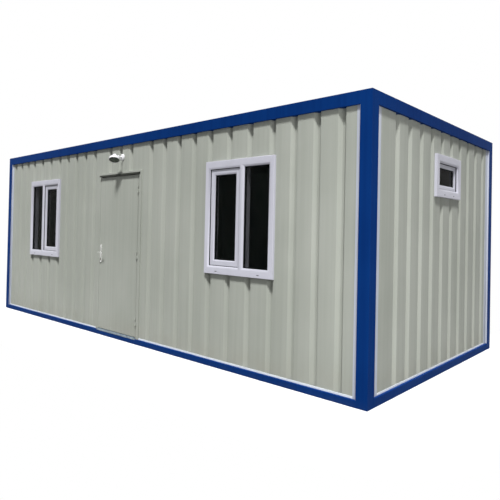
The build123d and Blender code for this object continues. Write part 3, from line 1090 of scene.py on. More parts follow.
class Workshop:
    """Makes pieces and hands them to the frame."""

    def __init__(self, frame: Mapping[str, object]) -> None:
        """Take the loaded frame and build the repeating trees.
        """
        self.nodes = frame["nodes"]
        groups = frame["record"]["behaviour"]["bodies"]
        self.bodies = {node: body for body, members in groups.items() for node in members}
        self.fixings = Fixings()
        self.bars = Bars()
        self.beads = Beads()

    def piece(
        self,
        name: str,
        mesh: bpy.types.Mesh,
        finish: Finish,
        body: str = "cabin",
        stands_for: Sequence[str] = (),
    ) -> bpy.types.Object:
        """Make a mesh a piece of the cabin.

        Args:
            name: The piece's name.
            mesh: Its mesh, in the cabin's frame.
            finish: What it is made of.
            body: The body that it rides on.
            stands_for: The CAD nodes that it replaces.

        Returns:
            The piece.
        """
        made = placed(name, mesh)
        mesh.materials.clear()
        mesh.materials.append(finish.material())
        if not mesh.has_custom_normals:
            mesh.shade_smooth()
            mesh.set_sharp_from_angle(angle=SMOOTH_ANGLE)
        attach(made, body)
        if stands_for:
            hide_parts(*stands_for)
        log.info("%s: %d faces, rides on %s", name, len(mesh.polygons), body)
        return made

    def shaped(
        self,
        name: str,
        shape: Shape,
        matrix: Matrix,
        finish: Finish,
        body: str = "cabin",
        stands_for: Sequence[str] = (),
    ) -> None:
        """Make a shape a piece of the cabin, with its place in its mesh."""
        self.piece(name, shape.mesh(name, matrix), finish, body, stands_for)

    def dressed(self, node: str, finish: Finish) -> None:
        """Give a CAD node that stays its material.

        Args:
            node: The CAD node's name.
            finish: What it is made of.
        """
        for slot in self.nodes[node].material_slots:
            slot.material = finish.material()
        log.info("%s: shown as built", node)

    def rounded(self, node: str, finish: Finish, radius: float, segments: int = 2) -> None:
        """Replace a CAD node by the same shape with its edges rounded.

        Args:
            node: The CAD node's name.
            finish: What it is made of.
            radius: How far the rounding reaches from each edge.
            segments: Faces across each rounding.
        """
        work = bmesh.new()
        work.from_mesh(self.nodes[node].data)
        bmesh.ops.remove_doubles(work, verts=work.verts, dist=MERGE_DISTANCE)
        bmesh.ops.dissolve_limit(
            work, angle_limit=FLAT_ANGLE, verts=work.verts, edges=work.edges, delimit={"NORMAL"})
        merged = bpy.data.meshes.new(node)
        work.to_mesh(merged)
        work.free()
        merged.shade_smooth()
        merged.set_sharp_from_angle(angle=SMOOTH_ANGLE)
        bearer = placed(node + "_merged", merged)
        bevel = bearer.modifiers.new("rounding", "BEVEL")
        bevel.width = radius
        bevel.segments = segments
        bevel.limit_method = "ANGLE"
        bevel.angle_limit = ROUNDED_ANGLE
        bevel.use_clamp_overlap = True
        bevel.harden_normals = True
        plain = flattened(bearer)
        bpy.data.objects.remove(bearer)
        self.piece(node + "_rounded", plain, finish, self.bodies[node], [node])

    def fixed(
        self,
        name: str,
        side: Side | None,
        spots: Sequence[Triple],
        finish: Finish,
        head: Head,
        body: str = "cabin",
        facing: Triple = (0, -1, 0),
    ) -> None:
        """Put a screw or rivet head on each spot.

        Args:
            name: The piece's name.
            side: The side whose wall coordinates the spots are in, or none for the cabin's frame.
            spots: Where the heads sit.
            finish: What the heads are made of.
            head: The shape of each head.
            body: The body that they ride on.
            facing: The direction that the heads face.
        """
        matrix = side.matrix if side else Matrix()
        carrier = bpy.data.meshes.new(name)
        carrier.from_pydata([matrix @ Vector(spot) for spot in spots], [], [])
        attribute = carrier.attributes.new("facing", "FLOAT_VECTOR", "POINT")
        for item in attribute.data:
            item.vector = matrix.to_3x3() @ Vector(facing)
        self.piece(name, self.fixings.apply(carrier, finish, head.sizes), finish, body)

    def barred(self, name: str, centres: Sequence[Vector], size: Triple, finish: Finish) -> None:
        """Put a bar of one size on each centre, in the cabin's frame.

        Args:
            name: The piece's name.
            centres: The middle of each bar.
            size: The bars' lengths along X, Y and Z.
            finish: What it is made of.
        """
        carrier = bpy.data.meshes.new(name)
        carrier.from_pydata(list(centres), [], [])
        sizes = dict(zip(("Length X", "Length Y", "Length Z"), size))
        self.piece(name, self.bars.apply(carrier, finish, sizes), finish)

    def beaded(
        self,
        name: str,
        runs: Sequence[Sequence[Vector]],
        finish: Finish,
        bead: Bead,
    ) -> None:
        """Lay a bead along each run of points, in the cabin's frame.

        Args:
            name: The piece's name.
            runs: The points of each run.
            finish: What it is made of.
            bead: The shape of the bead.
        """
        points: list[Vector] = []
        edges: list[tuple[int, int]] = []
        for run in runs:
            first = len(points)
            points += run
            edges += [(first + step, first + step + 1) for step in range(len(run) - 1)]
        carrier = bpy.data.meshes.new(name)
        carrier.from_pydata(points, edges, [])
        self.piece(name, self.beads.apply(carrier, finish, bead.sizes), finish)


@dataclass
class Studio:
    """Floor, lights and the camera at the photograph's viewing angle."""

    camera_place: Triple = (5.454, -4.962, 1.404)
    yaw: float = -0.718
    pitch: float = 0.013
    roll: float = 0.020
    focal_pixels: float = 494.5
    image_side: float = 500.0
    principal_point: Pair = (268.0, 224.07)
    sensor: float = 36.0
    sight: float = 200.0
    sun_direction: Triple = (0.33, -0.50, 1.12)
    sun_strength: float = 4.9
    sun_spread: float = math.radians(9)
    sky: Colour = (0.97, 0.99, 1.0)
    sky_strength: float = 0.38
    ground_light: Colour = (0.25, 0.25, 0.25)
    horizon: Pair = (-0.15, 0.5)
    dim_side: Pair = (0.0, 0.9)
    dimming: float = 0.9
    fill_place: Triple = (5.6, -2.9, 1.7)
    fill_target: Triple = (3.5, -0.9, 1.2)
    fill_size: float = 1.6
    fill_power: float = 32.0
    floor_reach: float = 60.0
    floor_level: float = -0.001
    floor_colour: Colour = (0.80, 0.80, 0.80)
    floor_bounce: Colour = (0.12, 0.12, 0.12)
    floor_roughness: float = 0.9
    cabin_half: Pair = (3.5, 1.5)
    fade: Pair = (0.05, 1.1)

    def build(self) -> None:
        """Make the whole studio."""
        self._camera()
        self._world()
        self._sun()
        self._fill()
        self._floor()
        bpy.context.scene.view_settings.view_transform = "Standard"

    def _camera(self) -> None:
        """The camera, with the shift that the photograph's framing needs."""
        forward = Vector((
            math.sin(self.yaw) * math.cos(self.pitch),
            math.cos(self.yaw) * math.cos(self.pitch),
            math.sin(self.pitch)))
        level = Vector((math.cos(self.yaw), -math.sin(self.yaw), 0))
        upright = level.cross(forward)
        right = level * math.cos(self.roll) + upright * math.sin(self.roll)
        up = upright * math.cos(self.roll) - level * math.sin(self.roll)
        data = bpy.data.cameras.new("camera")
        data.sensor_width = self.sensor
        data.lens = self.focal_pixels * self.sensor / self.image_side
        half = self.image_side / 2
        data.shift_x = (half - self.principal_point[0]) / self.image_side
        data.shift_y = (self.principal_point[1] - half) / self.image_side
        data.clip_end = self.sight
        camera = placed("camera", data)
        turn = Matrix((right, up, -forward)).transposed().to_4x4()
        camera.matrix_world = Matrix.Translation(self.camera_place) @ turn
        bpy.context.scene.camera = camera

    def _world(self) -> None:
        """A plain sky, dimmer on the right, that is white where it is seen or mirrored."""
        world = bpy.data.worlds.new("studio")
        world.use_nodes = True
        bpy.context.scene.world = world
        graph = Graph(world.node_tree)
        way = graph.term("ShaderNodeTexCoord", output="Generated")
        parts = graph.node("ShaderNodeSeparateXYZ", sockets={0: way})
        across, rise = (Term(graph, parts.outputs[name]) for name in ("X", "Z"))
        shade = graph.term(
            "ShaderNodeMix", {"data_type": "RGBA"},
            {0: rise.ramped(*self.horizon), 6: self.ground_light, 7: self.sky}, output=2)
        strength = (1 - self.dimming * across.ramped(*self.dim_side)) * self.sky_strength
        light = graph.term("ShaderNodeBackground", sockets={"Color": shade, "Strength": strength})
        white = graph.term("ShaderNodeBackground", sockets={"Color": WHITE, "Strength": 1.0})
        both = graph.term("ShaderNodeMixShader", sockets={0: self._seen(graph), 1: light, 2: white})
        graph.node("ShaderNodeOutputWorld", sockets={"Surface": both})

    @staticmethod
    def _seen(graph: Graph) -> Term:
        """One for a ray from the camera, from a mirror or through glass.

        Args:
            graph: The tree that asks.

        Returns:
            The mask.
        """
        path = graph.node("ShaderNodeLightPath")
        camera, glossy, transmitted = (
            Term(graph, path.outputs[name])
            for name in ("Is Camera Ray", "Is Glossy Ray", "Is Transmission Ray"))
        return camera.maths("MAXIMUM", glossy).maths("MAXIMUM", transmitted)

    @staticmethod
    def _lamp(name: str, kind: str, power: float, source: Vector) -> bpy.types.Object:
        """A lamp whose light comes from the direction of `source`.

        Args:
            name: The lamp's name.
            kind: The lamp's type.
            power: Its strength or its watts.
            source: Where its light comes from.

        Returns:
            The lamp.
        """
        data = bpy.data.lights.new(name, kind)
        data.energy = power
        lamp = placed(name, data)
        lamp.rotation_mode = "QUATERNION"
        lamp.rotation_quaternion = source.to_track_quat("Z", "Y")
        return lamp

    def _sun(self) -> None:
        """One soft key light from the front, high and a little to the right."""
        lamp = self._lamp("key", "SUN", self.sun_strength, Vector(self.sun_direction))
        lamp.data.angle = self.sun_spread

    def _fill(self) -> None:
        """A large weak lamp beside the near corner, so that the end's light fades towards the back."""
        source = Vector(self.fill_place) - Vector(self.fill_target)
        lamp = self._lamp("fill", "AREA", self.fill_power, source)
        lamp.location = self.fill_place
        lamp.data.size = self.fill_size
        lamp.data.specular_factor = 0.0

    def _floor(self) -> None:
        """A pale floor that keeps the shadow near the cabin and turns white away from it."""
        mesh = bpy.data.meshes.new("floor")
        corners = [(x * self.floor_reach, y * self.floor_reach, self.floor_level) for x, y in QUADRANTS]
        mesh.from_pydata(corners, [], [(0, 1, 2, 3)])
        floor = placed("floor", mesh)
        material = bpy.data.materials.new("floor")
        material.use_nodes = True
        surface = Surface(material.node_tree)
        past_x, past_y = (
            (axis.maths("ABSOLUTE") - half).maths("MAXIMUM", 0.0)
            for axis, half in zip((surface.x, surface.y), self.cabin_half))
        distance = (past_x * past_x + past_y * past_y) ** 0.5
        seen = self._seen(surface)
        share = distance.ramped(*self.fade) * seen
        tone = surface.mixed(self.floor_bounce, self.floor_colour, seen)
        sockets = {"Base Color": tone, "Roughness": self.floor_roughness}
        near = surface.term("ShaderNodeBsdfPrincipled", sockets=sockets)
        far = surface.term("ShaderNodeEmission", sockets={"Color": WHITE, "Strength": 1.0})
        both = surface.term("ShaderNodeMixShader", sockets={0: share, 1: near, 2: far})
        surface.feed(surface.exit.inputs["Surface"], both)
        mesh.materials.append(material)


@dataclass
class SteelFrame:
    """Posts, rails, their plates and the welds between them."""

    rounding: float = 0.005
    plate_rounding: float = 0.0015
    weld_end: float = 0.006

    def build(self, shop: Workshop) -> None:
        """Make the frame's pieces.

        Args:
            shop: Where the pieces are made.
        """
        for depth in ("front", "back"):
            for hand in ("left", "right"):
                shop.rounded(f"post_{depth}_{hand}", FRAME_BLUE, self.rounding, 3)
        for side in Side:
            name = side.name.lower()
            shop.rounded(f"base_rail_{name}", FRAME_BLUE, self.rounding, 3)
            shop.rounded(f"roof_rail_{name}", FRAME_BLUE, self.rounding, 3)
            self._welds(shop, side)
        shop.rounded("post_plates", FRAME_BLUE, self.plate_rounding)

    def _welds(self, shop: Workshop, side: Side) -> None:
        """The welds between one side's rails and its posts, ground down to the face.

        Args:
            shop: Where the pieces are made.
            side: The side of the cabin.
        """
        runs = []
        for rail in ("base_rail", "roof_rail"):
            x, _, z = side.box(f"{rail}_{side.name.lower()}")
            for place in x:
                ends = (z[0] + self.weld_end, z[1] - self.weld_end)
                runs.append([side.matrix @ Vector((place, WELD.radius, end)) for end in ends])
        shop.beaded(f"welds_{side.name.lower()}", runs, FRAME_BLUE, WELD)


@dataclass
class SheetWall:
    """One profiled sheet wall with rounded folds, screwed to the frame at its head and foot."""

    node: str
    side: Side
    window: str | None = None
    fold_radius: float = 0.005
    face: float = WALL_FACE
    groove_depth: float = 0.034
    groove_mouth: float = 0.078
    groove_floor: float = 0.024
    frame_cover: float = FRAME_COVER
    screw_inset: float = 0.042

    def build(self, shop: Workshop) -> None:
        """Make the wall and its screws.

        Args:
            shop: Where the pieces are made.
        """
        x, y, z = self.side.box(self.node)
        middles = self._grooves(shop.nodes[self.node], z[0])
        holes = self._holes()
        outline = [(x[0], self.face)]
        for middle in middles:
            outline += [
                (middle - self.groove_mouth / 2, self.face),
                (middle - self.groove_floor / 2, self.face + self.groove_depth),
                (middle + self.groove_floor / 2, self.face + self.groove_depth),
                (middle + self.groove_mouth / 2, self.face),
            ]
        outline.append((x[1], self.face))
        hole_edges = [edge for across, _ in holes for edge in across]
        outline = divided(filleted(outline, self.fold_radius), hole_edges)
        levels = sorted([*z, *(edge for _, up in holes for edge in up)])
        sheet = Shape().relief(outline, y[1], levels, holes)
        shop.shaped(self.node + "_sheet", sheet, self.side.matrix, WALL_PAINT, stands_for=[self.node])
        pans = [(before + after) / 2 for before, after in zip(middles, middles[1:])]
        heights = (z[0] + self.screw_inset, z[1] - self.screw_inset)
        spots = [(pan, self.face, height) for pan in pans for height in heights]
        shop.fixed(self.node + "_screws", self.side, spots, WALL_PAINT, SHEET_SCREW)

    def _grooves(self, node: bpy.types.Object, foot: float) -> list[float]:
        """The middle of each groove, read from the CAD node's points at its foot.

        Args:
            node: The wall's CAD node.
            foot: Height of the wall's foot.

        Returns:
            The values of X, from left to right.
        """
        back = self.side.matrix.inverted()
        floor = self.face + self.groove_depth
        edges = set()
        for vertex in node.data.vertices:
            point = back @ vertex.co
            if abs(point.y - floor) < NEAR and abs(point.z - foot) < NEAR:
                edges.add(round(point.x, 5))
        ordered = sorted(edges)
        return [(left + right) / 2 for left, right in zip(ordered[::2], ordered[1::2])]

    def _holes(self) -> list[tuple[Pair, Pair]]:
        """The window's hole as X and Z ranges, where the wall has one.

        Returns:
            The hole, or nothing.
        """
        if not self.window:
            return []
        x, _, z = self.side.box(f"{self.window}_window_frame")
        cover = self.frame_cover
        return [((x[0] + cover, x[1] - cover), (z[0] + cover, z[1] - cover))]


@dataclass
class Shell:
    """Walls, trims, roof, floor and linings."""

    walls: tuple[SheetWall, ...] = (
        SheetWall("front_wall_left", Side.FRONT, "left"),
        SheetWall("front_wall_right", Side.FRONT, "right"),
        SheetWall("front_wall_over_door", Side.FRONT),
        SheetWall("back_wall", Side.BACK),
        SheetWall("left_end_wall", Side.LEFT),
        SheetWall("right_end_wall", Side.RIGHT, "vent"),
    )
    trim_face: float = 0.0195
    trim_rounding: float = 0.0006
    trim_rivet_inset: float = 0.016
    trim_rivet_pitch: float = 0.32
    rib_pitch: float = 0.25
    roof_screw_rows: tuple[float, ...] = (-1.33, -0.67, 0.0, 0.67, 1.33)
    eaves_width: float = 0.07
    eaves_thickness: float = 0.0015
    front_strips: tuple[float, ...] = (-3.05, -1.22, 3.05, 0.95)
    back_strips: tuple[float, ...] = (-3.05, -1.22, 1.22, 3.05)
    end_strips: tuple[float, ...] = (-0.61, 0.61)
    strip_pitch: float = 1.22
    strip_width: float = 0.045
    strip_thickness: float = 0.004
    skirting_height: float = 0.06
    skirting_thickness: float = 0.01
    long_skirting_gap: float = 0.002
    end_skirting_gap: float = 0.02
    lining_face: float = LINING_FACE
    lining_thickness: float = 0.009

    def build(self, shop: Workshop) -> None:
        """Make the shell's pieces.

        Args:
            shop: Where the pieces are made.
        """
        for wall in self.walls:
            wall.build(shop)
        # The corner trims take the trim paint darkened as painted shade.
        shop.rounded("corner_trims", SHADED_TRIM_PAINT, self.trim_rounding)
        shop.rounded("base_trims", TRIM_PAINT, self.trim_rounding)
        for side in Side:
            self._trim_rivets(shop, side)
        self._roof(shop)
        shop.dressed("floor_frame", HIDDEN_STEEL)
        shop.dressed("floor_deck", DECK)
        shop.dressed("wall_linings", LINING)
        shop.dressed("ceiling_panel", LINING)
        self._inner_strips(shop)

    def _trim_rivets(self, shop: Workshop, side: Side) -> None:
        """Rivets up the corner trims of one side.

        Args:
            shop: Where the pieces are made.
            side: The side of the cabin.
        """
        x, _, z = side.box(f"roof_rail_{side.name.lower()}")
        foot = side.box(f"base_rail_{side.name.lower()}")[2][1]
        count = int((z[0] - foot) // self.trim_rivet_pitch)
        start = (foot + z[0] - (count - 1) * self.trim_rivet_pitch) / 2
        heights = [start + step * self.trim_rivet_pitch for step in range(count)]
        places = (x[0] + self.trim_rivet_inset, x[1] - self.trim_rivet_inset)
        spots = [(place, self.trim_face, height) for place in places for height in heights]
        # Painted shade: the rivets take the corner trims' darkened trim paint.
        shop.fixed(f"trim_rivets_{side.name.lower()}", side, spots, SHADED_TRIM_PAINT, TRIM_RIVET)

    def _roof(self, shop: Workshop) -> None:
        """The roof panel with its screws and the flashing round its edge.

        Args:
            shop: Where the pieces are made.
        """
        shop.dressed("roof_panel", ROOF_PAINT)
        shop.dressed("roof_beams", HIDDEN_STEEL)
        low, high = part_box("roof_panel")
        count = int((high[0] - low[0]) // self.rib_pitch) - 1
        ribs = [self.rib_pitch * (step - (count - 1) / 2) for step in range(count)]
        spots = [(rib, row, high[2]) for rib in ribs for row in self.roof_screw_rows]
        shop.fixed("roof_screws", None, spots, ZINC, ROOF_SCREW, facing=(0, 0, 1))
        section = rectangle((0.0, self.eaves_width), (0.0, self.eaves_thickness))
        rings = []
        for sign_x, sign_y in QUADRANTS:
            rings.append([
                (sign_x * (high[0] - inset), sign_y * (high[1] - inset), high[2] + rise)
                for inset, rise in section])
        shop.shaped("eaves_flashing", Shape().loft(rings, closed=True), Matrix(), ROOF_PAINT)
        corners = [
            Vector((sign_x * high[0], sign_y * high[1], high[2] + self.eaves_thickness))
            for sign_x, sign_y in (*QUADRANTS, QUADRANTS[0])]
        shop.beaded("eaves_sealant", [corners], SEALANT, EAVES_BEAD)

    def _inner_strips(self, shop: Workshop) -> None:
        """Cover strips over the joints of the linings and the ceiling, and a skirting.

        Args:
            shop: Where the pieces are made.
        """
        low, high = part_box("wall_linings")
        deck_top, ceiling = low[2], high[2]
        middle = (deck_top + ceiling) / 2
        tall = ceiling - deck_top
        thickness = self.strip_thickness
        for side, sign, through, places in (
            (Side.FRONT, -1, 1, self.front_strips),
            (Side.BACK, 1, 1, self.back_strips),
            (Side.LEFT, -1, 0, self.end_strips),
            (Side.RIGHT, 1, 0, self.end_strips),
        ):
            size = [self.strip_width, self.strip_width, tall]
            size[through] = thickness
            centres = [Vector((place, place, middle)) for place in places]
            for centre in centres:
                centre[through] = sign * (high[through] - self.lining_thickness - thickness / 2)
            shop.barred(f"lining_strips_{side.name.lower()}", centres, size, STRIP)
        across = 2 * (high[1] - self.lining_thickness)
        centres = [Vector((step * self.strip_pitch, 0, ceiling - thickness / 2)) for step in range(-2, 3)]
        shop.barred("ceiling_strips", centres, (self.strip_width, across, thickness), STRIP)
        self._skirting(shop, deck_top)

    def _skirting(self, shop: Workshop, deck_top: float) -> None:
        """A skirting round the floor, left out at the doorway.

        Args:
            shop: Where the pieces are made.
            deck_top: Height of the floor's top.
        """
        shape = Shape()
        door = Side.FRONT.box("door_frame")[0]
        back, front = self.lining_face, self.lining_face + self.skirting_thickness
        top = deck_top + self.skirting_height
        section = [
            (back, deck_top), (front, deck_top), (front, top - 0.006), (back + 0.003, top), (back, top)]
        for side in Side:
            x, _, _ = side.box(f"roof_rail_{side.name.lower()}")
            gap = self.long_skirting_gap if side in (Side.FRONT, Side.BACK) else self.end_skirting_gap
            ends = [x[0] + gap, x[1] - gap]
            if side is Side.FRONT:
                ends[1:1] = door
            for stretch in zip(ends[::2], ends[1::2]):
                shape.loft([
                    [side.matrix @ Vector((end, depth, level)) for depth, level in section]
                    for end in stretch])
        shop.shaped("skirting", shape, Matrix(), STRIP)


PROFILE_EDGE = ((0.019, 0.0), (0.017, 0.0008), (0.003, 0.0075), (0.0005, 0.0105), (0.0, 0.014))


@dataclass
class Window:
    """One plastic window: frame, sash, double panes, seals, and black ovals that paint the shade of its drain
    slots.

    PROFILE_EDGE gives the frame's edge towards the glass, as distances from the opening and
    depths behind the frame's face.
    """

    name: str
    side: Side
    sash_face: float
    fixed_light: bool = True
    frame_face: float = 0.082
    stile_face: float = 0.066
    frame_cover: float = FRAME_COVER
    wall_face: float = WALL_FACE
    room_face: float = LINING_FACE
    front: float = -0.0046
    chamfer: float = 0.0025
    mullion: float = 0.068
    mullion_tenon: float = 0.0175
    sash_gap: float = 0.004
    stop_cover: float = 0.014
    bead_width: float = 0.019
    glass_in_sash: float = 0.014
    fixed_glass: float = 0.014
    glass_depth: float = 0.02
    pane: float = 0.004
    spacer_face: float = 0.009
    gasket_lip: float = 0.0035
    drain_half: Pair = (0.016, 0.0032)
    drain_height: float = 0.027
    drain_spread: float = 0.29
    mitre_shares: Pair = (0.05, 0.66)

    def __post_init__(self) -> None:
        """Read the window's places from the CAD."""
        self.x, _, self.z = self.side.box(f"{self.name}_window_frame")
        sash_x, self.sash_y, sash_z = self.side.box(f"{self.name}_window_sash")
        gap = self.sash_gap
        self.sash = rectangle(sash_x, sash_z)
        self.light = rectangle((sash_x[0] - gap, sash_x[1] + gap), (sash_z[0] - gap, sash_z[1] + gap))
        face = self.sash_face
        self.sash_opening = rectangle(
            (sash_x[0] + face, sash_x[1] - face), (sash_z[0] + face, sash_z[1] - face))
        clear = (self.z[0] + self.frame_face, self.z[1] - self.frame_face)
        left = (self.x[0] + self.stile_face, sash_x[0] - gap - self.mullion)
        right = (sash_x[1] + gap + self.mullion, self.x[1] - self.stile_face)
        on_left = left[1] > left[0]
        fixed_x = left if on_left else right
        self.mullion_x = (left[1], sash_x[0] - gap) if on_left else (sash_x[1] + gap, right[0])
        self.fixed_opening = rectangle(fixed_x, clear)
        self.clear_z = clear

    def build(self, shop: Workshop) -> None:
        """Make the window's pieces.

        Args:
            shop: Where the pieces are made.
        """
        label = f"{self.name}_window"
        for part, shape, finish, stands_for in (
            ("profiles", self._frame(), WINDOW_WHITE, [f"{label}_frame"]),
            ("casement", self._sash(), WINDOW_WHITE, [f"{label}_sash"]),
            # The panes' near-black tint is painted shade over the room behind them.
            ("panes", self._panes(), GLASS_WITH_PAINTED_SHADE, [f"{label}_glass"]),
            ("spacers", self._spacers(), SPACER, []),
            ("seals", self._seals(), RUBBER, []),
            # The drain pieces are black ovals that paint the shade of drain slots.
            ("drains", self._drains(), RUBBER, []),
        ):
            shop.shaped(f"{label}_{part}", shape, self.side.matrix, finish, stands_for=stands_for)
        shop.beaded(f"{label}_mitres", self._mitres(), WINDOW_SEAM, MITRE_SEAM)

    def _lights(self) -> list[tuple[list[Pair], float]]:
        """Each pane's opening with the depth of its outer face.

        Returns:
            Each opening and its depth.
        """
        lights = [(self.sash_opening, self.sash_y[0] + self.glass_in_sash)]
        if self.fixed_light:
            lights.append((self.fixed_opening, self.fixed_glass))
        return lights

    def _profile(self, face: float) -> list[Pair]:
        """The outer frame's section, for a frame that shows `face` from outside.

        Args:
            face: The width that shows from outside.

        Returns:
            Points as (distance from the edge, depth).
        """
        front, back, chamfer = self.front, self.room_face, self.chamfer
        edge = [(face - distance, front + depth) for distance, depth in PROFILE_EDGE]
        return [
            (0.0, self.wall_face), (0.0, front + chamfer), (chamfer, front), *edge, (face, back - 0.002),
            (face - 0.002, back), (self.frame_cover, back), (self.frame_cover, self.wall_face)]

    def _frame(self) -> Shape:
        """The outer frame, the stop behind the sash, and the mullion.

        Returns:
            The shape.
        """
        front, back = self.front, self.room_face
        section, upright = self._profile(self.frame_face), self._profile(self.stile_face)
        shape = Shape().strip(rectangle(self.x, self.z), section, upright=upright)
        stop = self.sash_y[1]
        lip = self.stop_cover
        shape.strip(self.light, [
            (-0.002, stop), (lip - 0.002, stop), (lip, stop + 0.003),
            (lip, back - 0.0015), (-0.002, back - 0.0015)])
        if self.fixed_light:
            left, right = self.mullion_x
            ends = (self.clear_z[0] - self.mullion_tenon, self.clear_z[1] + self.mullion_tenon)
            rising = [(left + distance, front + depth) for distance, depth in reversed(PROFILE_EDGE)]
            falling = [(right - distance, front + depth) for distance, depth in PROFILE_EDGE]
            outline = [(left, back), *rising, *falling, (right, back)]
            shape.loft([[(x, depth, end) for x, depth in outline] for end in ends])
        return shape

    def _sash(self) -> Shape:
        """The sash with its glazing bead.

        Returns:
            The shape.
        """
        front, back = self.sash_y
        face = self.sash_face
        bead = face - self.bead_width
        groove = [(bead, 0.0), (bead + 0.0005, 0.0022), (bead + 0.0018, 0.0022), (bead + 0.0022, 0.0004)]
        slope = [(face - 0.007, 0.003), (face - 0.0015, 0.0075), (face, 0.0115)]
        section = [
            (0.0, back), (0.0, front + 0.003), (self.chamfer, front),
            *((across, front + depth) for across, depth in groove + slope), (face, back)]
        return Shape().strip(self.sash, section)

    def _panes(self) -> Shape:
        """Two sheets of glass in each light.

        Returns:
            The shape.
        """
        shape = Shape()
        for opening, depth in self._lights():
            (left, foot), _, (right, head), _ = opening
            for near in (depth, depth + self.glass_depth - self.pane):
                shape.box((left, right), (near, near + self.pane), (foot, head))
        return shape

    def _spacers(self) -> Shape:
        """The dark bars that hold the two sheets apart.

        Returns:
            The shape.
        """
        shape = Shape()
        for opening, depth in self._lights():
            near, far = depth + self.pane, depth + self.glass_depth - self.pane
            face = self.spacer_face
            shape.strip(opening, [(0.0, near), (face, near), (face, far), (0.0, far)])
        return shape

    def _seals(self) -> Shape:
        """Gaskets along the glass, and a black seal between frame and sash that is a real gasket and also
        paints the gap's shade.

        Returns:
            The shape.
        """
        shape = Shape()
        root, lip = -0.001, self.gasket_lip
        for opening, depth in self._lights():
            shape.strip(opening, [
                (root, depth - 0.005), (0.0012, depth - 0.0045), (lip, depth - 0.001), (lip, depth),
                (root, depth)])
            far = depth + self.glass_depth
            shape.strip(opening, [(root, far), (lip, far), (lip, far + 0.001), (root, far + 0.005)])
        # The black seal in the frame-sash gap is a real gasket, and its black also paints the shade of the
        # gap.
        front = self.sash_y[0]
        shape.strip(self.light, [
            (-0.0005, front - 0.0075), (0.0012, front - 0.0065), (0.0038, front + 0.003),
            (0.0038, front + 0.012), (-0.0005, front + 0.012)])
        return shape

    def _drains(self) -> Shape:
        """Black flat ovals on the foot of the frame: painted shade for its drain slots.

        Returns:
            The shape.
        """
        shape = Shape()
        middle = (self.x[0] + self.x[1]) / 2
        height = self.z[0] + self.drain_height
        wide, tall = self.drain_half
        for place in (middle - self.drain_spread, middle + self.drain_spread):
            rings = []
            for depth, size in ((0.001, 1.0), (-0.0002, 1.0), (-0.0003, 0.9)):
                centre = (place, self.front + depth, height)
                rings.append(oval(centre, (1, 0, 0), (0, 0, 1), (wide * size, tall * size), 3.0, 16))
            shape.loft(rings)
        return shape

    def _mitres(self) -> list[list[Vector]]:
        """The welded corner seams on the faces of frame and sash.

        Returns:
            The two ends of each seam.
        """
        runs = []
        for path, across, up, depth in (
            (rectangle(self.x, self.z), self.stile_face, self.frame_face, self.front),
            (self.sash, self.sash_face, self.sash_face, self.sash_y[0]),
        ):
            (left, foot), _, (right, head), _ = path
            for x, sign_x in ((left, 1), (right, -1)):
                for z, sign_z in ((foot, 1), (head, -1)):
                    runs.append([
                        self.side.matrix @ Vector(
                            (x + sign_x * share * across, depth + 0.0002, z + sign_z * share * up))
                        for share in self.mitre_shares])
        return runs


@dataclass
class WindowHandles:
    """The inside handles of the two casements, with a neck that bends down into the grip."""

    plate_half: Pair = (0.013, 0.035)
    plate_depth: float = 0.008
    neck_drop: float = 0.021
    grip_drop: float = 0.008
    grip_length: float = 0.118
    grip_size: Pair = (0.0085, 0.0052)

    def build(self, shop: Workshop) -> None:
        """Make the handles in place of the CAD ones.

        Args:
            shop: Where the pieces are made.
        """
        shape = Shape()
        x, y, z = Side.FRONT.box("window_handles")
        top = z[1]
        plate_wide, plate_tall = self.plate_half
        wide, thick = self.grip_size
        neck, foot = top - self.neck_drop, top - self.grip_drop - self.grip_length
        far = y[1] - thick
        for middle in (x[0] + plate_wide, x[1] - plate_wide):
            rings = []
            for depth, size in ((0.0, 1.0), (0.8, 1.0), (0.95, 0.94), (1.0, 0.8)):
                half = (plate_wide * size, plate_tall - plate_wide * (1 - size))
                centre = (middle, y[0] + depth * self.plate_depth, top - plate_tall)
                rings.append(oval(centre, (1, 0, 0), (0, 0, 1), half, 5.0, 24))
            shape.loft(rings)
            grip = (
                (y[0] + 0.006, neck, (wide, wide)),
                (far - 0.012, neck, (wide * 0.9, wide * 0.9)),
                (far - 0.005, neck - 0.001, (wide * 0.8, wide)),
                (far - 0.001, neck - 0.006, (thick * 1.1, wide * 1.02)),
                (far, neck - 0.014, (thick, wide)),
                (far, (neck + foot) / 2, (thick * 0.9, wide * 0.85)),
                (far - 0.001, foot + 0.012, (thick * 0.8, wide * 0.8)),
                (far - 0.002, foot, (thick * 0.5, wide * 0.4)),
            )
            path = [(middle, depth, level) for depth, level, _ in grip]
            shape.swept(path, [half for _, _, half in grip], (1, 0, 0))
        shop.shaped(
            "window_handles_shaped", shape, Side.FRONT.matrix, WINDOW_WHITE, stands_for=["window_handles"])


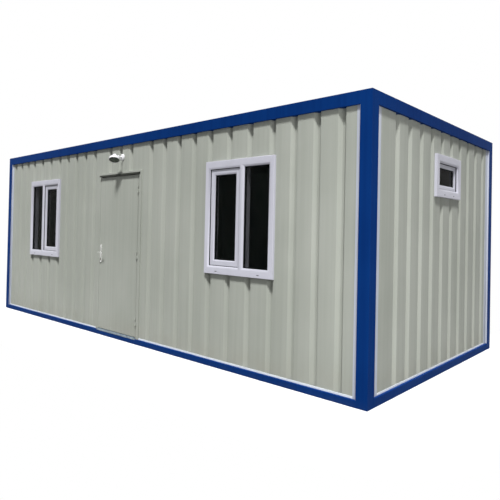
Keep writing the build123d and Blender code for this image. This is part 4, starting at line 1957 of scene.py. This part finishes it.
@dataclass
class DoorSet:
    """Door frame, leaf, hinges, seals, threshold, drip cap, lock and lever."""

    lever_x: float = -0.485
    lever_z: float = 1.075
    plate_half: Pair = (0.021, 0.1175)
    plate_middle: float = 1.0595
    plate_depth: float = 0.008
    neck_reach: float = 0.0365
    neck_radius: float = 0.009
    spindle_radius: float = 0.005
    spindle_past_plate: float = 0.004
    arm_length: float = 0.115
    arm_size: Pair = (0.0098, 0.0068)
    cylinder_z: float = 0.985
    leaf_rounding: float = 0.002
    hinge_rounding: float = 0.0008
    threshold_rounding: float = 0.001
    cap_rounding: float = 0.0007
    leaf_gap: float = 0.007
    seal_room: float = 0.0008
    seal_edge: float = 0.004
    rib_count: int = 8
    first_rib: float = 0.012
    rib_pitch: float = 0.009
    rib_width: float = 0.003
    rib_rise: float = 0.0008
    rib_end: float = 0.01
    screw_from_end: float = 0.012
    face_plate_z: Pair = (0.955, 1.195)
    latch_z: Pair = (1.062, 1.088)
    strike_z: Pair = (0.985, 1.165)
    hinge_half: float = 0.042
    hinge_face: float = 0.0055
    hinge_screw_inset: float = 0.009
    hinge_screw_rise: float = 0.012
    hinge_screw_gap: float = 0.019

    def build(self, shop: Workshop) -> None:
        """Make the door's pieces.

        Args:
            shop: Where the pieces are made.
        """
        for node in ("door_frame", "door_leaf"):
            shop.rounded(node, WALL_PAINT, self.leaf_rounding)
        for node in ("frame_hinges", "leaf_hinges"):
            shop.rounded(node, WALL_PAINT, self.hinge_rounding)
        self._threshold(shop)
        self._drip_cap(shop)
        self._seals(shop)
        self._plates(shop)
        self._lever(shop)
        self._lock(shop)
        self._hinge_screws(shop)

    def _threshold(self, shop: Workshop) -> None:
        """The threshold with a ribbed tread.

        Args:
            shop: Where the pieces are made.
        """
        shop.rounded("door_threshold", THRESHOLD_METAL, self.threshold_rounding)
        x, y, z = Side.FRONT.box("door_threshold")
        middle, top = (x[0] + x[1]) / 2, z[1] + self.rib_rise / 2
        centres = [
            Side.FRONT.matrix @ Vector((middle, y[0] + self.first_rib + self.rib_pitch * step, top))
            for step in range(self.rib_count)]
        size = (x[1] - x[0] - 2 * self.rib_end, self.rib_width, self.rib_rise)
        shop.barred("threshold_ribs", centres, size, THRESHOLD_METAL)

    def _drip_cap(self, shop: Workshop) -> None:
        """The drip cap with a line of sealant on top.

        Args:
            shop: Where the pieces are made.
        """
        # The cap's dark grey stands for its own dull steel and paints the shadow band under it.
        shop.rounded("door_drip_cap", CAP_METAL_AND_PAINTED_SHADOW, self.cap_rounding)
        x, y, z = Side.FRONT.box("door_drip_cap")
        runs = [[Side.FRONT.matrix @ Vector((end, y[1] - 0.001, z[1] + 0.001)) for end in x]]
        shop.beaded("cap_sealant", runs, SEALANT, CAP_BEAD)

    def _seals(self, shop: Workshop) -> None:
        """The rubber that the leaf closes on, along the frame's stop.

        Args:
            shop: Where the pieces are made.
        """
        x, y, z = Side.FRONT.box("door_leaf")
        depth = y[1] + self.seal_room
        edge = self.seal_edge
        left, right, foot, head = x[0] - edge, x[1] + edge, z[0] + edge, z[1] + edge
        path = [(left, foot), (left, head), (right, head), (right, foot)]
        section = [(-0.0028, depth + 0.0043), (-0.0028, depth + 0.001), (-0.0065, depth),
                   (-0.011, depth + 0.001), (-0.0125, depth + 0.0043)]
        seal = Shape().strip(path, section, closed=False)
        shop.shaped("door_seal", seal, Side.FRONT.matrix, RUBBER)

    def _plates(self, shop: Workshop) -> None:
        """A long plate with round ends on each face of the leaf.

        Args:
            shop: Where the pieces are made.
        """
        shape = Shape()
        _, leaf_y, _ = Side.FRONT.box("door_leaf")
        wide, tall = self.plate_half
        for root, way in ((leaf_y[0], -1), (leaf_y[1], 1)):
            rings = []
            for depth, inset in ((0.0, 0.0), (0.6, 0.0), (0.85, 0.001), (1.0, 0.0035)):
                centre = (self.lever_x, root + way * depth * self.plate_depth, self.plate_middle)
                rings.append(stadium(centre, (wide - inset, tall - inset)))
            shape.loft(rings)
        shop.shaped(
            "lever_plates_shaped", shape, Side.FRONT.matrix, LEVER_METAL, "door", ["lever_plates"])

    def _lever(self, shop: Workshop) -> None:
        """A bent lever on each side, on one spindle.

        Args:
            shop: Where the pieces are made.
        """
        shape = Shape()
        _, plate_y, _ = Side.FRONT.box("lever_plates")
        wide, thick = self.arm_size
        x, z = self.lever_x, self.lever_z
        for root, way in ((plate_y[0], -1), (plate_y[1], 1)):
            bend = root + way * self.neck_reach
            arm = bend + way * 0.007
            neck, tip = self.neck_radius, x + self.arm_length
            stations = (
                (x, root + way * 0.0005, (neck, neck)),
                (x, bend - way * 0.010, (neck * 0.92, neck * 0.92)),
                (x + 0.0012, bend - way * 0.002, (neck * 0.9, neck * 0.9)),
                (x + 0.005, arm - way * 0.003, (thick * 1.15, neck * 0.95)),
                (x + 0.014, arm, (thick, wide)),
                (x + 0.05, arm + way * 0.0002, (thick * 0.9, wide * 0.95)),
                (x + 0.09, arm, (thick * 0.88, wide * 0.95)),
                (tip - 0.008, arm - way * 0.0005, (thick * 0.8, wide * 0.85)),
                (tip - 0.0005, arm - way * 0.001, (thick * 0.45, wide * 0.45)),
            )
            path = [(along, depth, z) for along, depth, _ in stations]
            shape.swept(path, [half for _, _, half in stations], (0, 0, 1), power=2.4)
        past = self.spindle_past_plate
        inwards = Matrix.Rotation(math.radians(-90), 4, "X")
        spindle = Matrix.Translation((x, plate_y[0] - past, z)) @ inwards
        length = plate_y[1] - plate_y[0] + 2 * past
        shape.lathe([(self.spindle_radius, 0.0), (self.spindle_radius, length)], 16, spindle)
        shop.shaped("door_lever_shaped", shape, Side.FRONT.matrix, LEVER_METAL, "lever", ["door_lever"])

    def _lock(self, shop: Workshop) -> None:
        """Key cylinder, screws of the plates, face plate and latch of the leaf, strike of the frame.

        Args:
            shop: Where the pieces are made.
        """
        _, plate_y, _ = Side.FRONT.box("lever_plates")
        cylinder = Shape()
        # The slots are black ovals on the cylinder's faces: painted shade for the keyways.
        slot = Shape()
        for root, way in ((plate_y[0], -1), (plate_y[1], 1)):
            for shape, rise, reach, half in (
                (cylinder, 0.0, 0.0025, (0.0085, 0.0165)),
                (slot, 0.0075, 0.0028, (0.0013, 0.0045)),
            ):
                middle = self.cylinder_z + rise
                shape.loft([
                    oval((self.lever_x, root + way * depth, middle), (1, 0, 0), (0, 0, 1), half, 2.6, 20)
                    for depth in (-0.001, reach)])
        shop.shaped("lock_cylinder", cylinder, Side.FRONT.matrix, CYLINDER, "door")
        shop.shaped("key_slots", slot, Side.FRONT.matrix, RUBBER, "door")
        reach, inset = self.plate_half[1], self.screw_from_end
        heights = (self.plate_middle + reach - inset, self.plate_middle - reach + inset)
        spots = [(self.lever_x, plate_y[0] + 0.0002, height) for height in heights]
        shop.fixed("plate_screws", Side.FRONT, spots, ZINC, PLATE_SCREW, body="door")
        x, y, _ = Side.FRONT.box("door_leaf")
        middle = (y[0] + y[1]) / 2
        edge = x[0]
        across = (middle - 0.011, middle + 0.011)
        latch = Shape().box((edge - 0.0008, edge + 0.002), across, self.face_plate_z)
        bolt = ((0.002, -0.007), (-0.0035, -0.004), (-0.0045, 0.006), (0.002, 0.007))
        latch.loft([
            [(edge + out, middle + depth, level) for out, depth in bolt] for level in self.latch_z])
        shop.shaped("latch", latch, Side.FRONT.matrix, ZINC, "door")
        jamb = edge - self.leaf_gap
        across = (middle - 0.013, middle + 0.013)
        strike = Shape().box((jamb - 0.0002, jamb + 0.0012), across, self.strike_z)
        shop.shaped("strike_plate", strike, Side.FRONT.matrix, ZINC)

    def _hinge_screws(self, shop: Workshop) -> None:
        """Two screws in each half of each hinge.

        Args:
            shop: Where the pieces are made.
        """
        frame_x, _, frame_z = Side.FRONT.box("frame_hinges")
        leaf_x, _, leaf_z = Side.FRONT.box("leaf_hinges")
        first, last = frame_z[0], leaf_z[1] - self.hinge_half
        pitch = (last - self.hinge_half - first) / 2
        inset, rise = self.hinge_screw_inset, self.hinge_screw_rise
        for name, body, place, foot in (
            ("frame", "cabin", frame_x[1] - inset, rise),
            ("leaf", "door", leaf_x[0] + inset, self.hinge_half + rise),
        ):
            spots = [
                (place, self.hinge_face, first + pitch * step + foot + gap)
                for step in range(3) for gap in (0.0, self.hinge_screw_gap)]
            shop.fixed(f"{name}_hinge_screws", Side.FRONT, spots, ZINC, HINGE_SCREW, body=body)


@dataclass
class WallLamp:
    """The lamp over the door: rose, ball joint, arm, hollow shade with reflector and bulb, and glass."""

    x: float = -0.053
    height: float = 2.292
    wall_face: float = WALL_FACE
    rose_radius: float = 0.042
    rose_depth: float = 0.014
    ball_radius: float = 0.017
    ball_standoff: float = 0.046
    arm_radius: float = 0.009
    reach: float = 0.098
    turn: float = math.radians(50)
    tilt: float = math.radians(26)
    shade_radius: float = 0.066
    screw_circle: float = 0.78
    screw_turns: Pair = (math.radians(35), math.radians(215))
    neck_radius: float = 0.022
    shade_length: float = 0.08
    shade_wall: float = 0.0022
    glass_depth: float = 0.005
    rim: float = 0.004

    def build(self, shop: Workshop) -> None:
        """Make the lamp's pieces.

        Args:
            shop: Where the pieces are made.
        """
        face = Side.FRONT.matrix
        root = face @ Matrix.Translation((self.x, self.wall_face, self.height))
        outwards = root @ Matrix.Rotation(math.radians(90), 4, "X")
        arm_end = self.wall_face - self.rose_depth - self.reach
        neck = face @ Matrix.Translation((self.x, arm_end, self.height + self.neck_radius))
        hang = neck @ Matrix.Rotation(self.turn, 4, "Z") @ Matrix.Rotation(-self.tilt, 4, "X")
        for name, shape, matrix, finish, stands_for in (
            ("lamp_mount", self._mount(), outwards, LAMP_PAINT, ["lamp_base"]),
            ("lamp_bell", self._bell(), hang, LAMP_PAINT, ["lamp_shade"]),
            ("lamp_reflector", self._reflector(), hang, REFLECTOR, []),
            ("lamp_bulb", self._bulb(), hang, BULB, []),
            ("lamp_lens_disc", self._lens(), hang, LAMP_LENS, ["lamp_glass"]),
        ):
            shop.shaped(name, shape, matrix, finish, stands_for=stands_for)
        circle = self.screw_circle * self.rose_radius
        screw_face = self.wall_face - self.rose_depth * 0.95
        spots = [
            (self.x + circle * math.cos(turn), screw_face, self.height + circle * math.sin(turn))
            for turn in self.screw_turns]
        shop.fixed("rose_screws", Side.FRONT, spots, ZINC, ROSE_SCREW)

    def _lens(self) -> Shape:
        """The shallow glass in the mouth of the shade.

        Returns:
            The shape.
        """
        edge, mouth = self.shade_radius - self.rim, -self.shade_length
        return Shape().lathe([
            (TIP_RADIUS, mouth + 0.0004), (edge * 0.6, mouth + 0.0006), (edge, mouth + 0.0016),
            (edge, mouth + self.glass_depth), (TIP_RADIUS, mouth + self.glass_depth - 0.001)], 48)

    def _mount(self) -> Shape:
        """Rose, neck, ball and arm, turned about the arm.

        Returns:
            The shape.
        """
        rose, depth = self.rose_radius, self.rose_depth
        ball, standoff = self.ball_radius, self.rose_depth + self.ball_standoff
        profile = [
            (TIP_RADIUS, 0.0), (rose, 0.0), (rose, depth * 0.35), (rose * 0.97, depth * 0.6),
            (rose * 0.86, depth * 0.86), (rose * 0.7, depth), (self.arm_radius * 1.7, depth),
            (self.arm_radius * 1.35, depth * 1.25)]
        for step in range(13):
            angle = math.radians(-62 + step * (62 + 66) / 12)
            profile.append((ball * math.cos(angle), standoff + ball * math.sin(angle)))
        end = depth + self.reach
        profile += [(self.arm_radius, standoff + ball * 0.98), (self.arm_radius, end), (TIP_RADIUS, end)]
        return Shape().lathe(profile, 40)

    def _bell(self) -> Shape:
        """A hollow bell with a rolled rim and a cap at its neck.

        Returns:
            The shape.
        """
        length, radius, neck = self.shade_length, self.shade_radius, self.neck_radius
        outer = [(TIP_RADIUS, 0.0), (neck * 0.75, -0.0004), (neck * 0.94, -0.002), (neck, -0.006)]
        inner = []
        for step in range(9):
            share = step / 8
            bulge = math.sin(share * math.pi / 2) ** 1.25
            across = neck + (radius - 0.0015 - neck) * bulge
            outer.append((across, -0.010 - (length * 0.8 - 0.010) * share))
            inner.append((across - self.shade_wall, -0.013 - (length * 0.8 - 0.011) * share))
        rim = [
            (radius, -length * 0.84), (radius, -length + 0.0015), (radius - 0.0015, -length),
            (radius - self.rim + 0.0004, -length), (radius - self.rim, -length + 0.001)]
        closing = [(TIP_RADIUS, inner[0][1] + 0.001)]
        return Shape().lathe(outer + rim + inner[::-1] + closing, 48)

    def _reflector(self) -> Shape:
        """A bowl inside the bell.

        Returns:
            The shape.
        """
        radius = self.shade_radius - self.rim - 0.002
        collar, top, mouth = 0.014, 0.03, self.shade_length * 0.86
        bowl = [
            (collar + (radius - collar) * math.sin(share * math.pi / 2), -top - (mouth - top) * share)
            for share in (0.0, 0.2, 0.4, 0.6, 0.8, 1.0)]
        thickness = 0.0008
        back = [(across + thickness, level + thickness) for across, level in reversed(bowl)]
        return Shape().lathe([*bowl, *back], 40, closed=True)

    def _bulb(self) -> Shape:
        """A round bulb on its cap.

        Returns:
            The shape.
        """
        profile = [(TIP_RADIUS, -0.018), (0.0105, -0.018), (0.0105, -0.031)]
        for turn in (math.radians(angle) for angle in range(35, 180, 24)):
            profile.append((0.0185 * math.sin(turn), -0.047 + 0.0165 * math.cos(turn)))
        profile.append((TIP_RADIUS, -0.0636))
        return Shape().lathe(profile, 24)


def main() -> None:
    """Build the cabin's looks."""
    logging.basicConfig(level=logging.INFO, format="%(name)s: %(message)s")
    shop = Workshop(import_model())
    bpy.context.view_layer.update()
    Studio().build()
    assemblies = (
        SteelFrame(),
        Shell(),
        Window("left", Side.FRONT, sash_face=0.058),
        Window("right", Side.FRONT, sash_face=0.058),
        Window("vent", Side.RIGHT, sash_face=0.04, fixed_light=False, stile_face=0.082, drain_spread=0.12),
        WindowHandles(),
        DoorSet(),
        WallLamp(),
    )
    for assembly in assemblies:
        log.info("building %s", type(assembly).__name__)
        assembly.build(shop)


if __name__ == "__main__":
    main()
